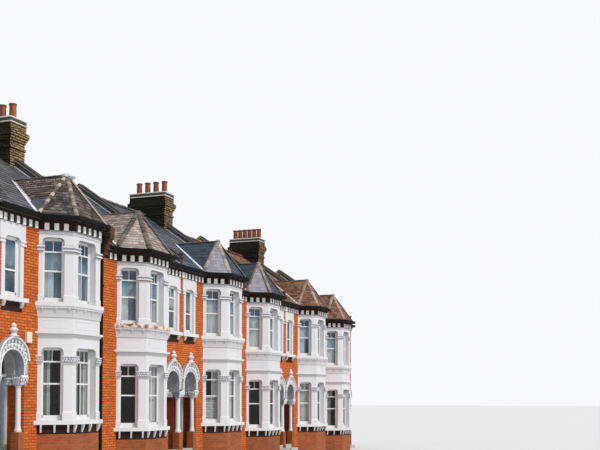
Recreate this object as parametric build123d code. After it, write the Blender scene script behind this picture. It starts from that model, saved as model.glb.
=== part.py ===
from build123d import *
from math import atan2, ceil, cos, degrees, hypot, pi, sin
import os

os.makedirs("parts", exist_ok=True)

# A row of brick terraced houses, mirrored in pairs, that steps down to the right.
# Lengths are millimetres. Each house is modelled in its own frame: x runs from the party line on
# the porch side towards the bay, y runs into the house from the front face, z rises from the
# ground in front of that house.

# The row
house_count = 6
house_width = 4800.0
level_step = 300.0
house_depth = 8200.0
brick_wall = 225.0
mortar_joint = 0.4

# Plan of one house front
porch_zone = 1680.0
bay_side_strip = 720.0
bay_projection = 700.0
bay_cant = 560.0
stone_depth = 200.0

# Floors
ground_floor_level = 300.0
first_floor_level = 3440.0
floor_thickness = 180.0

# Heights of the bay
lower_sill_bottom = 1050.0
sill_height = 110.0
sill_projection = 100.0
lower_capital_bottom = 2680.0
lower_capital_height = 180.0
lower_head_rise = 230.0
string_bottom = 3400.0
string_height = 110.0
string_projection = 90.0
cove_bottom = 3900.0
cove_projection = 80.0
upper_sill_bottom = 4187.0
upper_capital_bottom = 5650.0
upper_capital_height = 140.0
upper_head_rise = 230.0
dentil_bottom = 6213.0
dentil_height = 175.0
head_corner = 130.0

# Openings in the bay facets, measured along each facet
cant_opening = 570.0
cant_opening_centre = 380.0
lower_front_pier = 170.0
upper_front_pier = 220.0
capital_projection = 35.0

# Eaves and roof
dentil_width = 120.0
dentil_pitch = 250.0
dentil_margin = 90.0
dentil_projection = 80.0
line_corbel_width = 190.0
eaves_course_projection = 95.0
eaves_overhang = 150.0
roof_foot = 6680.0
roof_pitch_rise = 0.69
roof_thickness = 130.0
parapet_rise = 240.0
coping_width = 300.0
coping_thickness = 60.0
kneeler_projection = 280.0
kneeler_height = 560.0
kneeler_courses = 4
coping_nose = 40.0
ball_radius = 75.0
gutter_width = 110.0
gutter_height = 110.0
gutter_wall = 14.0
bay_roof_rise = 1366.0
bay_roof_thickness = 90.0
fascia_height = 80.0
hip_tile_radius = 95.0
ridge_tile_radius = 120.0
ridge_tile_bed = 30.0

# Chimney stacks on every second party wall
stack_width = 700.0
stack_length = 1560.0
stack_front = 3170.0
seat_below_slates = 150.0
shaft_above_ridge = 181.0
lip_below_shaft_top = 240.0
lip_height = 75.0
lip_projection = 35.0
corbel_height = 320.0
corbel_courses = 4
corbel_projection = 100.0
neck_height = 240.0
neck_projection = 30.0
cap_height = 180.0
cap_taper = 70.0
pot_height = 480.0
pot_radius = 115.0
pot_wall = 20.0
pot_counts = [4, 4, 6]

# Porch
porch_centre = 620.0
impost_level = 2340.0
arch_outer_radius = 600.0
arch_outer_centre = 2705.0
arch_inner_radius = 440.0
arch_inner_centre = 2535.0
arch_projection = 50.0
hood_width = 70.0
hood_projection = 60.0
arch_stone_count = 7
column_line = 1040.0
column_depth = 105.0
column_radius = 70.0
shared_column_radius = 90.0
nook_edge = 1150.0
nook_capital_reach = 120.0
column_foot = 880.0
column_top = 2070.0
column_base_height = 150.0
column_base_spread = 25.0
necking = 15.0
abacus_height = 90.0
pedestal_half = 135.0
pedestal_projection = 25.0
finial_height = 360.0
finial_radius = 115.0
finial_stand_off = 60.0
recess_end = 1090.0
side_wall = 140.0
vault_thickness = 60.0
vault_stone_count = 5
step_rise = 150.0
step_going = 300.0

# Front door
door_height = 1980.0
door_thickness = 45.0
door_clearance = 8.0
door_frame_face = 60.0
door_plane = 480.0
door_frame_depth = 95.0
door_frame_top = 3060.0
transom_height = 70.0
door_stile = 110.0
hinge_radius = 8.0
hinge_length = 60.0
hinge_gap = 0.3
hinge_inset = 250.0
hinge_plate = 3.0
hinge_plate_width = 35.0
panel_recess = 10.0

# Window over the porch
porch_window_centre = 600.0
porch_window_width = 640.0
porch_window_bottom = 4310.0
porch_window_height = 1560.0
porch_window_reveal = 60.0
surround_face = 110.0
surround_projection = 25.0
surround_lining = 20.0
head_overhang = 70.0
impost_ring = 20.0
head_clearance = 10.0
bracket_width = 90.0
bracket_height = 150.0
bracket_spacing = 720.0
porch_sill_overhang = 240.0

# Sash windows
frame_face = 70.0
frame_depth = 80.0
frame_lap = 40.0
glass_thickness = 12.0

# Rear
rear_window_width = 1050.0
rear_window_height = 1500.0
rear_window_spacing = 2300.0
rear_reveal = 100.0
rear_sill_lip = 60.0
rear_sill_height = 90.0
rear_lower_sill_rise = 900.0
rear_upper_sill_rise = 850.0

# Downpipe beside the first stepped party wall
pipe_radius = 50.0
pipe_stand_off = 65.0
pipe_from_line = 300.0
pipe_foot = 80.0
pipe_brackets = 4

# Sizes worked out from the ones above
half_wall = brick_wall / 2
bay_width = house_width - porch_zone - bay_side_strip
bay_end = porch_zone + bay_width
cant_length = hypot(bay_cant, bay_projection)
cant_turn = degrees(atan2(bay_projection, bay_cant))
bay_front = bay_width - 2 * bay_cant
lower_front_opening = bay_front - 2 * lower_front_pier
upper_front_opening = bay_front - 2 * upper_front_pier
ridge_line = house_depth / 2
lower_head_bottom = lower_capital_bottom + lower_capital_height
upper_head_bottom = upper_capital_bottom + upper_capital_height
lower_crown = lower_head_bottom + lower_head_rise
upper_crown = upper_head_bottom + upper_head_rise
string_top = string_bottom + string_height
eaves_course_bottom = dentil_bottom + dentil_height
most_steps = house_count // 2
arch_leg_end = porch_centre + arch_outer_radius
porch_window_start = porch_window_centre - porch_window_width / 2
porch_window_crown = porch_window_bottom + porch_window_height
recess_start = half_wall
recess_middle = (recess_start + recess_end) / 2
vault_centre = arch_inner_centre + 25
door_start = recess_start + door_frame_face
door_end = recess_end - door_frame_face
door_low = ground_floor_level + door_clearance
transom_bottom = door_low + door_height + door_clearance
hinge_x = door_start + door_clearance / 2
hinge_y = door_plane + door_frame_depth + hinge_radius
front_reach = bay_projection + eaves_overhang + gutter_width
rear_reach = house_depth + eaves_overhang + gutter_width
row_middle = Location((-house_count * house_width / 2, (front_reach - rear_reach) / 2, 0))


def ground(house):
    """Height of the ground in front of a house above the lowest ground of the row."""
    return (most_steps - (house + 1) // 2) * level_step


def roof_top(y):
    """Top of the slates above a point at depth y, on the slope that it lies under."""
    return roof_foot + roof_pitch_rise * min(y, house_depth - y)


def roof_under(y):
    return roof_top(y) - roof_thickness


stack_shaft_top = roof_top(ridge_line) + shaft_above_ridge
stack_seat = roof_top(stack_front) - seat_below_slates
lip_bottom = stack_shaft_top - lip_below_shaft_top


def extrude_polygon(points, travel):
    """Straight solid from a closed outline of 3-D points."""
    outline = Face(Wire.make_polygon([Vector(*point) for point in points], close=True))
    return Solid.extrude(outline, Vector(*travel))


def upright(points, low, high):
    """Plan outline carried from one height to another."""
    return extrude_polygon([(x, y, low) for x, y in points], (0, 0, high - low))


def across(points, start, end):
    """Outline in y and z carried along the row."""
    return extrude_polygon([(start, y, z) for y, z in points], (end - start, 0, 0))


def inward(points, start, end):
    """Outline in x and z carried into the house."""
    return extrude_polygon([(x, start, z) for x, z in points], (0, end - start, 0))


def block(x_range, y_range, z_range):
    (x0, x1), (y0, y1), (z0, z1) = x_range, y_range, z_range
    return upright([(x0, y0), (x1, y0), (x1, y1), (x0, y1)], z0, z1)


def turned(profile, x, y):
    """Round solid from a profile of radius and height about an upright axis."""
    outline = Face(Wire.make_polygon([Vector(radius, 0, z) for radius, z in profile], close=True))
    return Location((x, y, 0)) * Solid.revolve(outline, 360, Axis.Z)


def disc(centre_x, centre_z, radius, start, end):
    """Round solid whose axis points into the house."""
    plane = Plane((centre_x, start, centre_z), x_dir=(1, 0, 0), z_dir=(0, 1, 0))
    return Solid.make_cylinder(radius, end - start, plane)


def place(shape, house):
    """Put a piece of one house into the row, mirrored in every second house."""
    if house % 2:
        return Location(((house + 1) * house_width, 0, ground(house))) * shape.mirror(Plane.YZ)
    return Location((house * house_width, 0, ground(house))) * shape


def each_house(pieces):
    """Copies of the same pieces in every house."""
    return [place(piece, house) for house in range(house_count) for piece in pieces]


def export(name, pieces):
    """Write one node, with the origin at the middle of the row's footprint."""
    export_step(Compound([row_middle * piece for piece in pieces]), f"parts/{name}.step")


def party_side(house):
    """Where a front or rear wall starts on the porch side: over the end wall at the row's ends."""
    at_row_end = house in (0, house_count - 1)
    return -half_wall if at_row_end else mortar_joint / 2


# Points of the bay outline, as x from the bay's porch-side corner and y
def bay_point(corner, out):
    """Corner of the bay outline moved outwards, or inwards if out is negative."""
    if corner > 1:
        x, y = bay_point(3 - corner, out)
        return bay_width - x, y
    normal = (-bay_projection / cant_length, -bay_cant / cant_length)
    if corner == 1:
        scale = out / (1 - normal[1])
        return bay_cant + normal[0] * scale, -bay_projection + (normal[1] - 1) * scale
    if out > 0:
        return -out * cant_length / bay_projection, 0.0
    return 0.0, -out * cant_length / bay_cant


def eaves_point(corner, out):
    """As bay_point, for a line that runs on along the flat wall at the same distance."""
    if corner in (1, 2):
        return bay_point(corner, out)
    shift = out * bay_projection / (cant_length + bay_cant)
    return (-shift if corner == 0 else bay_width + shift), -out


def slide(point, corner, distance):
    """Move a point along its facet, away from a corner."""
    x, y = point
    if corner == 0:
        return x, y
    return x - distance * bay_cant / cant_length, y + distance * bay_projection / cant_length


def mirror_points(points):
    return [(bay_width - x, y) for x, y in points]


def to_house(points):
    return [(porch_zone + x, y) for x, y in points]


def facet_slabs(inner, outer, low, high):
    """Three upright slabs round the bay, mitred at its corners."""
    gap = mortar_joint / 2
    cant = [bay_point(0, outer)]
    if inner < 0 < outer:
        cant.append((0.0, 0.0))
    cant.append(bay_point(0, inner))
    cant += [slide(bay_point(1, out), 1, gap) for out in (inner, outer)]
    front = [(bay_point(1, out)[0] + gap, bay_point(1, out)[1]) for out in (outer, inner)]
    front += mirror_points(front)[::-1]
    outlines = [cant, front, mirror_points(cant)]
    return [upright(to_house(outline), low, high) for outline in outlines]


def facet_mouldings(profile):
    """Three mitred lengths of moulding round the bay, lofted from a profile of out and height."""
    gap = mortar_joint / 2
    first = [(*slide(bay_point(0, out), 0, gap), z) for out, z in profile]
    second = [(*slide(bay_point(1, out), 1, gap), z) for out, z in profile]
    third = [(bay_point(1, out)[0] + gap, bay_point(1, out)[1], z) for out, z in profile]
    fourth = [(bay_width - x, y, z) for x, y, z in third]
    lengths = [(first, second), (third, fourth)]
    lengths.append(tuple([(bay_width - x, y, z) for x, y, z in end] for end in (first, second)))
    return [loft_between(start, end) for start, end in lengths]


def loft_between(start, end):
    wires = [
        Wire.make_polygon([Vector(porch_zone + x, y, z) for x, y, z in points], close=True)
        for points in (start, end)
    ]
    return Solid.make_loft(wires, ruled=True)


def on_cant(shape):
    """Carry a shape from facet lengths, depths and heights to the bay's porch-side cant."""
    return Location((porch_zone, 0, 0), (0, 0, -cant_turn)) * shape


def on_front(shape):
    return Location((porch_zone + bay_cant, -bay_projection, 0)) * shape


def mirror_in_bay(shape):
    middle = porch_zone + bay_width / 2
    return Location((2 * middle, 0, 0)) * shape.mirror(Plane.YZ)


def on_facets(for_cant, for_front):
    """The same kind of piece on the three facets of a bay."""
    cant = on_cant(for_cant)
    return [cant, on_front(for_front), mirror_in_bay(cant)]


def head_outline(start, width, low, crown):
    """Window opening with rounded upper corners, in x and z."""
    end = start + width
    shoulder = crown - head_corner
    lean = head_corner * (1 - cos(pi / 4))
    corners = [
        Edge.make_line((start, 0, shoulder), (start, 0, low)),
        Edge.make_line((start, 0, low), (end, 0, low)),
        Edge.make_line((end, 0, low), (end, 0, shoulder)),
        Edge.make_three_point_arc(
            (end, 0, shoulder), (end - lean, 0, crown - lean), (end - head_corner, 0, crown)
        ),
        Edge.make_line((end - head_corner, 0, crown), (start + head_corner, 0, crown)),
        Edge.make_three_point_arc(
            (start + head_corner, 0, crown), (start + lean, 0, crown - lean), (start, 0, shoulder)
        ),
    ]
    return Face(Wire(corners))


def head_cutter(start, width, low, crown, near, far):
    outline = head_outline(start, width, low, crown)
    return Location((0, near, 0)) * Solid.extrude(outline, Vector(0, far - near, 0))


def light_of(x_range, z_range):
    """Ranges that the glass fills inside a window frame of the given outer ranges."""
    return (
        (x_range[0] + frame_face, x_range[1] - frame_face),
        (z_range[0] + frame_face, z_range[1] - frame_face),
    )


def sash_frame(x_range, near, z_range):
    """Box frame of a sash window, its front face at the depth called near."""
    light_x, light_z = light_of(x_range, z_range)
    outside = block(x_range, (near, near + frame_depth), z_range)
    return outside - block(light_x, (near - 1, near + frame_depth + 1), light_z)


def sash_glass(x_range, near, z_range):
    light_x, light_z = light_of(x_range, z_range)
    middle = near + frame_depth / 2
    return block(light_x, (middle - glass_thickness / 2, middle + glass_thickness / 2), light_z)


# Masonry that runs through all the houses
def party_wall(line):
    """Brick wall on one party line, with its parapet above the slates."""
    level = ground(max(line - 1, 0))
    foot = -level
    front, back = brick_wall, house_depth - brick_wall
    has_stack = line % 2 == 1
    top = [(back, roof_top(back) + parapet_rise)]
    if has_stack:
        stack_back = stack_front + stack_length
        top += [
            (stack_back, roof_top(stack_back) + parapet_rise),
            (stack_back, stack_seat),
            (stack_front, stack_seat),
            (stack_front, roof_top(stack_front) + parapet_rise),
        ]
    else:
        top.append((ridge_line, roof_top(ridge_line) + parapet_rise))
    outline = [(front, foot), (back, foot)] + top + [(front, roof_top(front) + parapet_rise)]
    wall = across(outline, -half_wall, half_wall)
    return Location((line * house_width, 0, level)) * wall


def coping_strip(line, start, end):
    """Sloping coping stones along the parapet between two depths on one side of the ridge."""
    level = ground(max(line - 1, 0))
    low = [(y, roof_top(y) + parapet_rise) for y in (start, end)]
    high = [(y, z + coping_thickness) for y, z in reversed(low)]
    strip = across(low + high, -coping_width / 2, coping_width / 2)
    return Location((line * house_width, 0, level)) * strip


def copings(line):
    front, back = -kneeler_projection, house_depth + eaves_overhang
    if line % 2 == 0:
        front = -coping_nose
    if line % 2:
        stack_back = stack_front + stack_length
        return [
            coping_strip(line, front, stack_front),
            coping_strip(line, stack_back + lip_projection, back),
        ]
    gap = mortar_joint / 2
    centre = roof_top(0) + parapet_rise + coping_thickness + ball_radius * 0.8
    place_here = Location((line * house_width, 0, ground(max(line - 1, 0)) + centre))
    ball = place_here * Solid.make_sphere(ball_radius)
    return [
        coping_strip(line, front, ridge_line - gap) + ball,
        coping_strip(line, ridge_line + gap, back),
    ]


def kneeler(drop, start, end):
    """Corbelled brick end that carries the parapet out over the front eaves.

    The part over the front wall reaches down by drop, to the wall of a house that stands lower.
    """
    foot = roof_under(0) - kneeler_height
    top = roof_top(-kneeler_projection) + parapet_rise
    rise = (top - foot) / (kneeler_courses + 1)
    profile = [(0, foot)]
    for course in range(kneeler_courses):
        out = -kneeler_projection * (course + 1) / kneeler_courses
        profile += [(out, foot + rise * course), (out, foot + rise * (course + 1))]
    profile += [
        (-kneeler_projection, top),
        (brick_wall, roof_top(brick_wall) + parapet_rise),
        (brick_wall, roof_under(brick_wall) - drop),
        (0, roof_under(0) - drop),
    ]
    return across(profile, start, end)


def parapet_end(start, end):
    """Plain brick end of a parapet that stands back of the level eaves over a pair of porches."""
    profile = [
        (0, roof_under(0)),
        (brick_wall, roof_under(brick_wall)),
        (brick_wall, roof_top(brick_wall) + parapet_rise),
        (0, roof_top(0) + parapet_rise),
    ]
    return across(profile, start, end)


def rear_kneeler(drop, start, end):
    inner, over = house_depth - brick_wall, house_depth + eaves_overhang
    profile = [
        (inner, roof_under(inner) - drop),
        (house_depth, roof_under(house_depth) - drop),
        (over, roof_under(house_depth) - drop),
        (over, roof_top(over) + parapet_rise),
        (inner, roof_top(inner) + parapet_rise),
    ]
    return across(profile, start, end)


def kneelers(line):
    steps_here = 0 < line < house_count and line % 2
    drop = level_step if steps_here else 0.0
    place_here = Location((line * house_width, 0, ground(max(line - 1, 0))))
    ends = []
    for make in (kneeler, rear_kneeler):
        if drop:
            ends.append(make(0.0, -half_wall, 0.0) + make(drop, 0.0, half_wall))
        else:
            ends.append(make(0.0, -half_wall, half_wall))
    if line % 2 == 0:
        ends[0] = parapet_end(-half_wall, half_wall)
    return [place_here * end for end in ends]


def wall_top_outline(low):
    """Front wall section above a height, with the sloping top that carries the rafters."""
    return [(0, low), (brick_wall, low), (brick_wall, roof_under(brick_wall)), (0, roof_under(0))]


def front_piers(house):
    foot = -ground(house)
    jamb = block((nook_edge, porch_zone), (0, brick_wall), (foot, column_top))
    jamb += block((arch_leg_end, porch_zone), (0, brick_wall), (column_top, impost_level))
    strip = across(wall_top_outline(foot), bay_end, house_width - mortar_joint / 2)
    return [place(jamb, house), place(strip, house)]


def walls_over_porch(house):
    """Wall pierced by the porch arch, and the wall above it pierced by a window."""
    start = party_side(house)
    sill = porch_window_bottom - sill_height
    arch_wall = block((start, porch_zone), (0, brick_wall), (impost_level, sill))
    arch_hole = disc(porch_centre, arch_outer_centre, arch_outer_radius, -1, brick_wall + 1)
    below = block(
        (porch_centre - arch_outer_radius, porch_centre + arch_outer_radius),
        (-1, brick_wall + 1),
        (impost_level - 1, arch_outer_centre),
    )
    upper_wall = across(wall_top_outline(sill + mortar_joint), start, porch_zone)
    window = block(
        (porch_window_start, porch_window_start + porch_window_width),
        (-1, brick_wall + 1),
        (porch_window_bottom, porch_window_crown),
    )
    lower = arch_wall - arch_hole - below
    return [place(piece, house) for piece in (lower, upper_wall - window)]


def rear_openings():
    """Start, sill and size of each rear window."""
    middle = house_width / 2
    starts = [middle + side * rear_window_spacing / 2 - rear_window_width / 2 for side in (-1, 1)]
    sills = [ground_floor_level + rear_lower_sill_rise, first_floor_level + rear_upper_sill_rise]
    return [(start, sill) for sill in sills for start in starts]


def rear_wall(house):
    foot = -ground(house)
    start = party_side(house)
    inner = house_depth - brick_wall
    outline = [
        (inner, foot),
        (house_depth, foot),
        (house_depth, roof_under(house_depth)),
        (inner, roof_under(inner)),
    ]
    wall = across(outline, start, house_width - mortar_joint / 2)
    for x, sill in rear_openings():
        wall -= block(
            (x, x + rear_window_width),
            (inner - 1, house_depth + 1),
            (sill, sill + rear_window_height),
        )
    return place(wall, house)


def rear_windows(make):
    """Frames or glass for all the rear windows of a house."""
    near = house_depth - rear_reveal - frame_depth
    return [
        make((x, x + rear_window_width), near, (sill, sill + rear_window_height))
        for x, sill in rear_openings()
    ]


def rear_sill(x, sill):
    """Stone sill below a rear window, let into the wall face as a projecting lip."""
    return block(
        (x - rear_sill_lip, x + rear_window_width + rear_sill_lip),
        (house_depth, house_depth + rear_sill_lip),
        (sill - rear_sill_height, sill),
    )


def floor_slab(level):
    """Floor between the walls of a house, run out into the bay."""
    bay = to_house([bay_point(corner, -stone_depth) for corner in range(4)])
    outline = [(half_wall, brick_wall), (porch_zone, brick_wall)] + bay
    outline += [
        (bay_end, brick_wall),
        (house_width - half_wall, brick_wall),
        (house_width - half_wall, house_depth - brick_wall),
        (half_wall, house_depth - brick_wall),
    ]
    return upright(outline, level - floor_thickness, level)


# Roof
def front_slope(start):
    """Slated slope from the ridge to the front eaves, open where the bay roof takes over.

    In front of the parapet on the porch side the overhang runs on to the party line.
    """
    near_ridge = ridge_line - mortar_joint / 2
    outline = [
        (-eaves_overhang, roof_under(-eaves_overhang)),
        (near_ridge, roof_under(near_ridge)),
        (near_ridge, roof_top(near_ridge)),
        (-eaves_overhang, roof_top(-eaves_overhang)),
    ]
    slope = across(outline, half_wall, house_width - half_wall)
    overhang = [
        (-eaves_overhang, roof_under(-eaves_overhang)),
        (0, roof_under(0)),
        (0, roof_top(0)),
        (-eaves_overhang, roof_top(-eaves_overhang)),
    ]
    return slope + across(overhang, start, half_wall) - bay_mouth() - stack_notch()


def rear_slope():
    back = house_depth + eaves_overhang
    past_ridge = ridge_line + mortar_joint / 2
    outline = [
        (past_ridge, roof_under(past_ridge)),
        (back, roof_under(back)),
        (back, roof_top(back)),
        (past_ridge, roof_top(past_ridge)),
    ]
    return across(outline, half_wall, house_width - half_wall) - stack_notch()


def bay_mouth():
    """Upright space in front of the wall that belongs to the bay, mitred to the flat eaves."""
    reach = eaves_overhang + 1
    corners = [(0.0, 0.0), eaves_point(0, reach), eaves_point(3, reach), (bay_width, 0.0)]
    return upright(to_house(corners), 0, bay_apex)


def stack_notch():
    """Space that the chimney stack takes from the roof on the bay side of a house."""
    back = stack_front + stack_length
    shaft = block(
        (house_width - stack_width / 2, house_width), (stack_front, back), (0, stack_shaft_top)
    )
    lip = block(
        (house_width - stack_width / 2 - lip_projection, house_width),
        (stack_front - lip_projection, back + lip_projection),
        (lip_bottom, lip_bottom + lip_height),
    )
    return shaft + lip


def ridge_tiles():
    """Half-round tiles over the ridge, from one parapet to the stack or parapet opposite."""
    low = roof_top(ridge_line) - ridge_tile_bed
    start, end = half_wall, house_width - stack_width / 2 - lip_projection
    plane = Plane((start, ridge_line, low), x_dir=(0, 1, 0), z_dir=(1, 0, 0))
    tile = Solid.make_cylinder(ridge_tile_radius, end - start, plane)
    below = [
        (0, roof_top(0)),
        (ridge_line, roof_top(ridge_line)),
        (house_depth, roof_top(house_depth)),
        (house_depth, 0),
        (0, 0),
    ]
    return tile - across(below, start - 1, end + 1)


bay_eaves_top = roof_under(-eaves_course_projection)
bay_roof_foot = bay_eaves_top + fascia_height
bay_apex = bay_roof_foot + bay_roof_rise


def bay_roof_body(inset):
    """Space under the five slopes of a bay roof, moved in by a thickness."""
    half = bay_width / 2 + eaves_overhang
    rise = bay_apex - bay_roof_foot
    body = block(
        (porch_zone - house_width, bay_end + house_width),
        (-house_width, house_depth / 2),
        (bay_eaves_top, bay_apex + 1),
    )
    apex = (porch_zone + bay_width / 2, 0.0, bay_apex)
    cant_normal = (-bay_projection / cant_length, -bay_cant / cant_length)
    cant_run = bay_width / 2 * bay_projection / cant_length + eaves_overhang
    slopes = [
        ((0.0, -1.0), bay_projection + eaves_overhang),
        (cant_normal, cant_run),
        ((-cant_normal[0], cant_normal[1]), cant_run),
        ((-1.0, 0.0), half),
        ((1.0, 0.0), half),
    ]
    for (nx, ny), run in slopes:
        normal = Vector(nx * rise, ny * rise, run).normalized()
        point = Vector(*apex) - normal * inset
        body = split(body, bisect_by=Plane(point, z_dir=normal), keep=Keep.BOTTOM)
    return body


def under_main_roof():
    """Everything below the top of the front slope, where that slope exists."""
    front = -eaves_overhang
    outline = [(front, 0), (ridge_line, 0), (ridge_line, roof_top(ridge_line)), (front, roof_top(front))]
    return across(outline, -house_width, 2 * house_width) - bay_mouth()


def bay_roof_solid():
    """Outer form of the bay roof, cut to the eaves outline and to the main slope behind."""
    outline = to_house([bay_point(corner, eaves_overhang) for corner in range(4)])
    outline[0] = (outline[0][0], 0.0)
    reach = house_depth / 2
    plan = [(porch_zone - eaves_overhang, reach), (porch_zone - eaves_overhang, -eaves_overhang)]
    plan += [
        (porch_zone + eaves_point(0, eaves_overhang)[0], -eaves_overhang),
        outline[1],
        outline[2],
        (porch_zone + eaves_point(3, eaves_overhang)[0], -eaves_overhang),
        (bay_end + eaves_overhang, -eaves_overhang),
        (bay_end + eaves_overhang, reach),
    ]
    body = bay_roof_body(0) & upright(plan, bay_eaves_top - 1, bay_apex + 2)
    return body - under_main_roof()


def bay_roof():
    """Roof shell that rests on the bay walls, hollow inside."""
    rest = stone_depth / 2
    plan = to_house([bay_point(corner, -rest) for corner in range(4)])
    hollow = bay_roof_body(bay_roof_thickness) & upright(plan, bay_eaves_top - 2, bay_apex)
    return bay_roof_solid() - hollow


def bar_between(start, end, radius):
    """Round bar between two points."""
    path = Vector(*end) - Vector(*start)
    return Solid.make_cylinder(radius, path.length, Plane(Vector(*start), z_dir=path))


def bay_hips():
    """Hip and ridge tiles of a bay roof as one piece, bedded on its slopes."""
    apex = (porch_zone + bay_width / 2, 0.0, bay_apex)
    back = (porch_zone + bay_width / 2, (bay_apex - roof_foot) / roof_pitch_rise, bay_apex)
    tiles = bar_between(apex, back, hip_tile_radius)
    for corner in (0, 1, 2, 3):
        x, y = eaves_point(corner, eaves_overhang)
        foot = (porch_zone + x, y, bay_roof_foot)
        tiles = tiles + bar_between(foot, apex, hip_tile_radius)
    tiles = tiles - bay_roof_solid() - under_main_roof()
    trim = upright(
        to_house([eaves_point(corner, eaves_overhang) for corner in range(4)])
        + [(bay_end + house_width, house_depth), (porch_zone - house_width, house_depth)],
        bay_roof_foot,
        bay_apex + house_width,
    )
    tiles = tiles & trim
    return max(tiles.solids(), key=lambda solid: solid.volume)


# Chimneys
def chimney_stack():
    """Brick stack with a lip, a corbelled head and a set-back neck, about its party line."""
    def course(out, low, high):
        return block(
            (-stack_width / 2 - out, stack_width / 2 + out),
            (stack_front - out, stack_front + stack_length + out),
            (low, high),
        )
    stack = course(0, stack_seat, stack_shaft_top)
    stack += course(lip_projection, lip_bottom, lip_bottom + lip_height)
    rise = corbel_height / corbel_courses
    for number in range(corbel_courses):
        out = corbel_projection * min(number + 1, corbel_courses - 1) / (corbel_courses - 1)
        low = stack_shaft_top + number * rise
        stack += course(out, low, low + rise)
    neck_low = stack_shaft_top + corbel_height
    return stack + course(neck_projection, neck_low, neck_low + neck_height)


cap_bottom = stack_shaft_top + corbel_height + neck_height
cap_top = cap_bottom + cap_height


def chimney_cap():
    """Sloping mortar cap that beds the pots."""
    def ring(out, z):
        x, y0, y1 = stack_width / 2 + out, stack_front - out, stack_front + stack_length + out
        corners = [Vector(-x, y0, z), Vector(x, y0, z), Vector(x, y1, z), Vector(-x, y1, z)]
        return Wire.make_polygon(corners, close=True)
    wide = neck_projection + 10
    return Solid.make_loft([ring(wide, cap_bottom), ring(wide - cap_taper, cap_top)], ruled=True)


def chimney_pot(y):
    """Round clay pot with a rolled rim, open at the top."""
    top = cap_top + pot_height
    rim = 40.0
    inside = pot_radius - pot_wall
    profile = [
        (inside, cap_top),
        (pot_radius, cap_top),
        (pot_radius - 8, top - 2 * rim),
        (pot_radius + 8, top - rim),
        (pot_radius + 8, top),
        (inside, top),
    ]
    return turned(profile, 0, y)


def on_line(piece, line):
    return Location((line * house_width, 0, ground(line - 1))) * piece


def stack_lines():
    return list(range(1, house_count, 2))


def chimney_pots():
    pots = []
    for line, count in zip(stack_lines(), pot_counts):
        pitch = stack_length / count
        for number in range(count):
            pots.append(on_line(chimney_pot(stack_front + pitch * (number + 0.5)), line))
    return pots


# Eaves
def eaves_lengths(start, inner, outer, low, high):
    """Five mitred lengths along the eaves: flat, three facets of the bay, and flat."""
    gap = mortar_joint / 2
    flat = [
        (start, -outer),
        (start, -inner),
        (porch_zone + eaves_point(0, inner)[0] - gap, -inner),
        (porch_zone + eaves_point(0, outer)[0] - gap, -outer),
    ]
    far = [
        (bay_end - (flat[2][0] - porch_zone), -inner),
        (bay_end - (flat[3][0] - porch_zone), -outer),
        (house_width - half_wall, -outer),
        (house_width - half_wall, -inner),
    ]
    cant = [eaves_point(0, outer), eaves_point(0, inner)]
    cant += [slide(bay_point(1, out), 1, gap) for out in (inner, outer)]
    front = [(bay_point(1, out)[0] + gap, bay_point(1, out)[1]) for out in (outer, inner)]
    front += mirror_points(front)[::-1]
    outlines = [flat, to_house(cant), to_house(front), to_house(mirror_points(cant)), far]
    return [upright(outline, low, high) for outline in outlines]


def gutters(start):
    """Gutter trough on the front eaves of a house, and the rear one."""
    inner, outer = eaves_overhang, eaves_overhang + gutter_width
    low, high = gutter_bottom, gutter_bottom + gutter_height
    solid = eaves_lengths(start, inner, outer, low, high)
    trough_x = start - 1
    groove = eaves_lengths(
        trough_x, inner + gutter_wall, outer - gutter_wall, low + gutter_wall, high + 1
    )
    lengths = [whole - cut for whole, cut in zip(solid, groove)]
    back = house_depth + eaves_overhang
    trough = [
        (back, low),
        (back + gutter_width, low),
        (back + gutter_width, high),
        (back + gutter_width - gutter_wall, high),
        (back + gutter_width - gutter_wall, low + gutter_wall),
        (back + gutter_wall, low + gutter_wall),
        (back + gutter_wall, high),
        (back, high),
    ]
    return lengths + [across(trough, half_wall, house_width - half_wall)]


gutter_bottom = bay_eaves_top


def dentils():
    """Row of small stone blocks under the eaves courses, on every face of a house front."""
    def row_of(length, first_gap):
        count = int((length - 2 * first_gap) // dentil_pitch) + 1
        start = (length - (count - 1) * dentil_pitch) / 2
        return [start + number * dentil_pitch for number in range(count)]

    def tooth(centre):
        return block(
            (centre - dentil_width / 2, centre + dentil_width / 2),
            (-dentil_projection, 0),
            (dentil_bottom, eaves_course_bottom),
        )
    near = dentil_width / 2 + 30
    pieces = []
    for centre in row_of(cant_length, near):
        tooth_on_cant = on_cant(tooth(centre))
        pieces += [tooth_on_cant, mirror_in_bay(tooth_on_cant)]
    pieces += [on_front(tooth(centre)) for centre in row_of(bay_front, near)]
    flats = [(half_wall, porch_zone - dentil_margin), (bay_end + dentil_margin, house_width - half_wall)]
    for low, high in flats:
        pieces += [Location((low, 0, 0)) * tooth(centre) for centre in row_of(high - low, near)]
    return pieces


def line_corbel(_):
    """Wider stone block among the dentils, on the party line between two porches."""
    half = line_corbel_width / 2
    return block((-half, half), (-eaves_course_projection, 0), (dentil_bottom, eaves_course_bottom))


# Bay storeys
def openings_of(front_width):
    """Start and width of the opening on the cant and on the front facet."""
    cant = (cant_opening_centre - cant_opening / 2, cant_opening)
    front = ((bay_front - front_width) / 2, front_width)
    return cant, front


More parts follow.
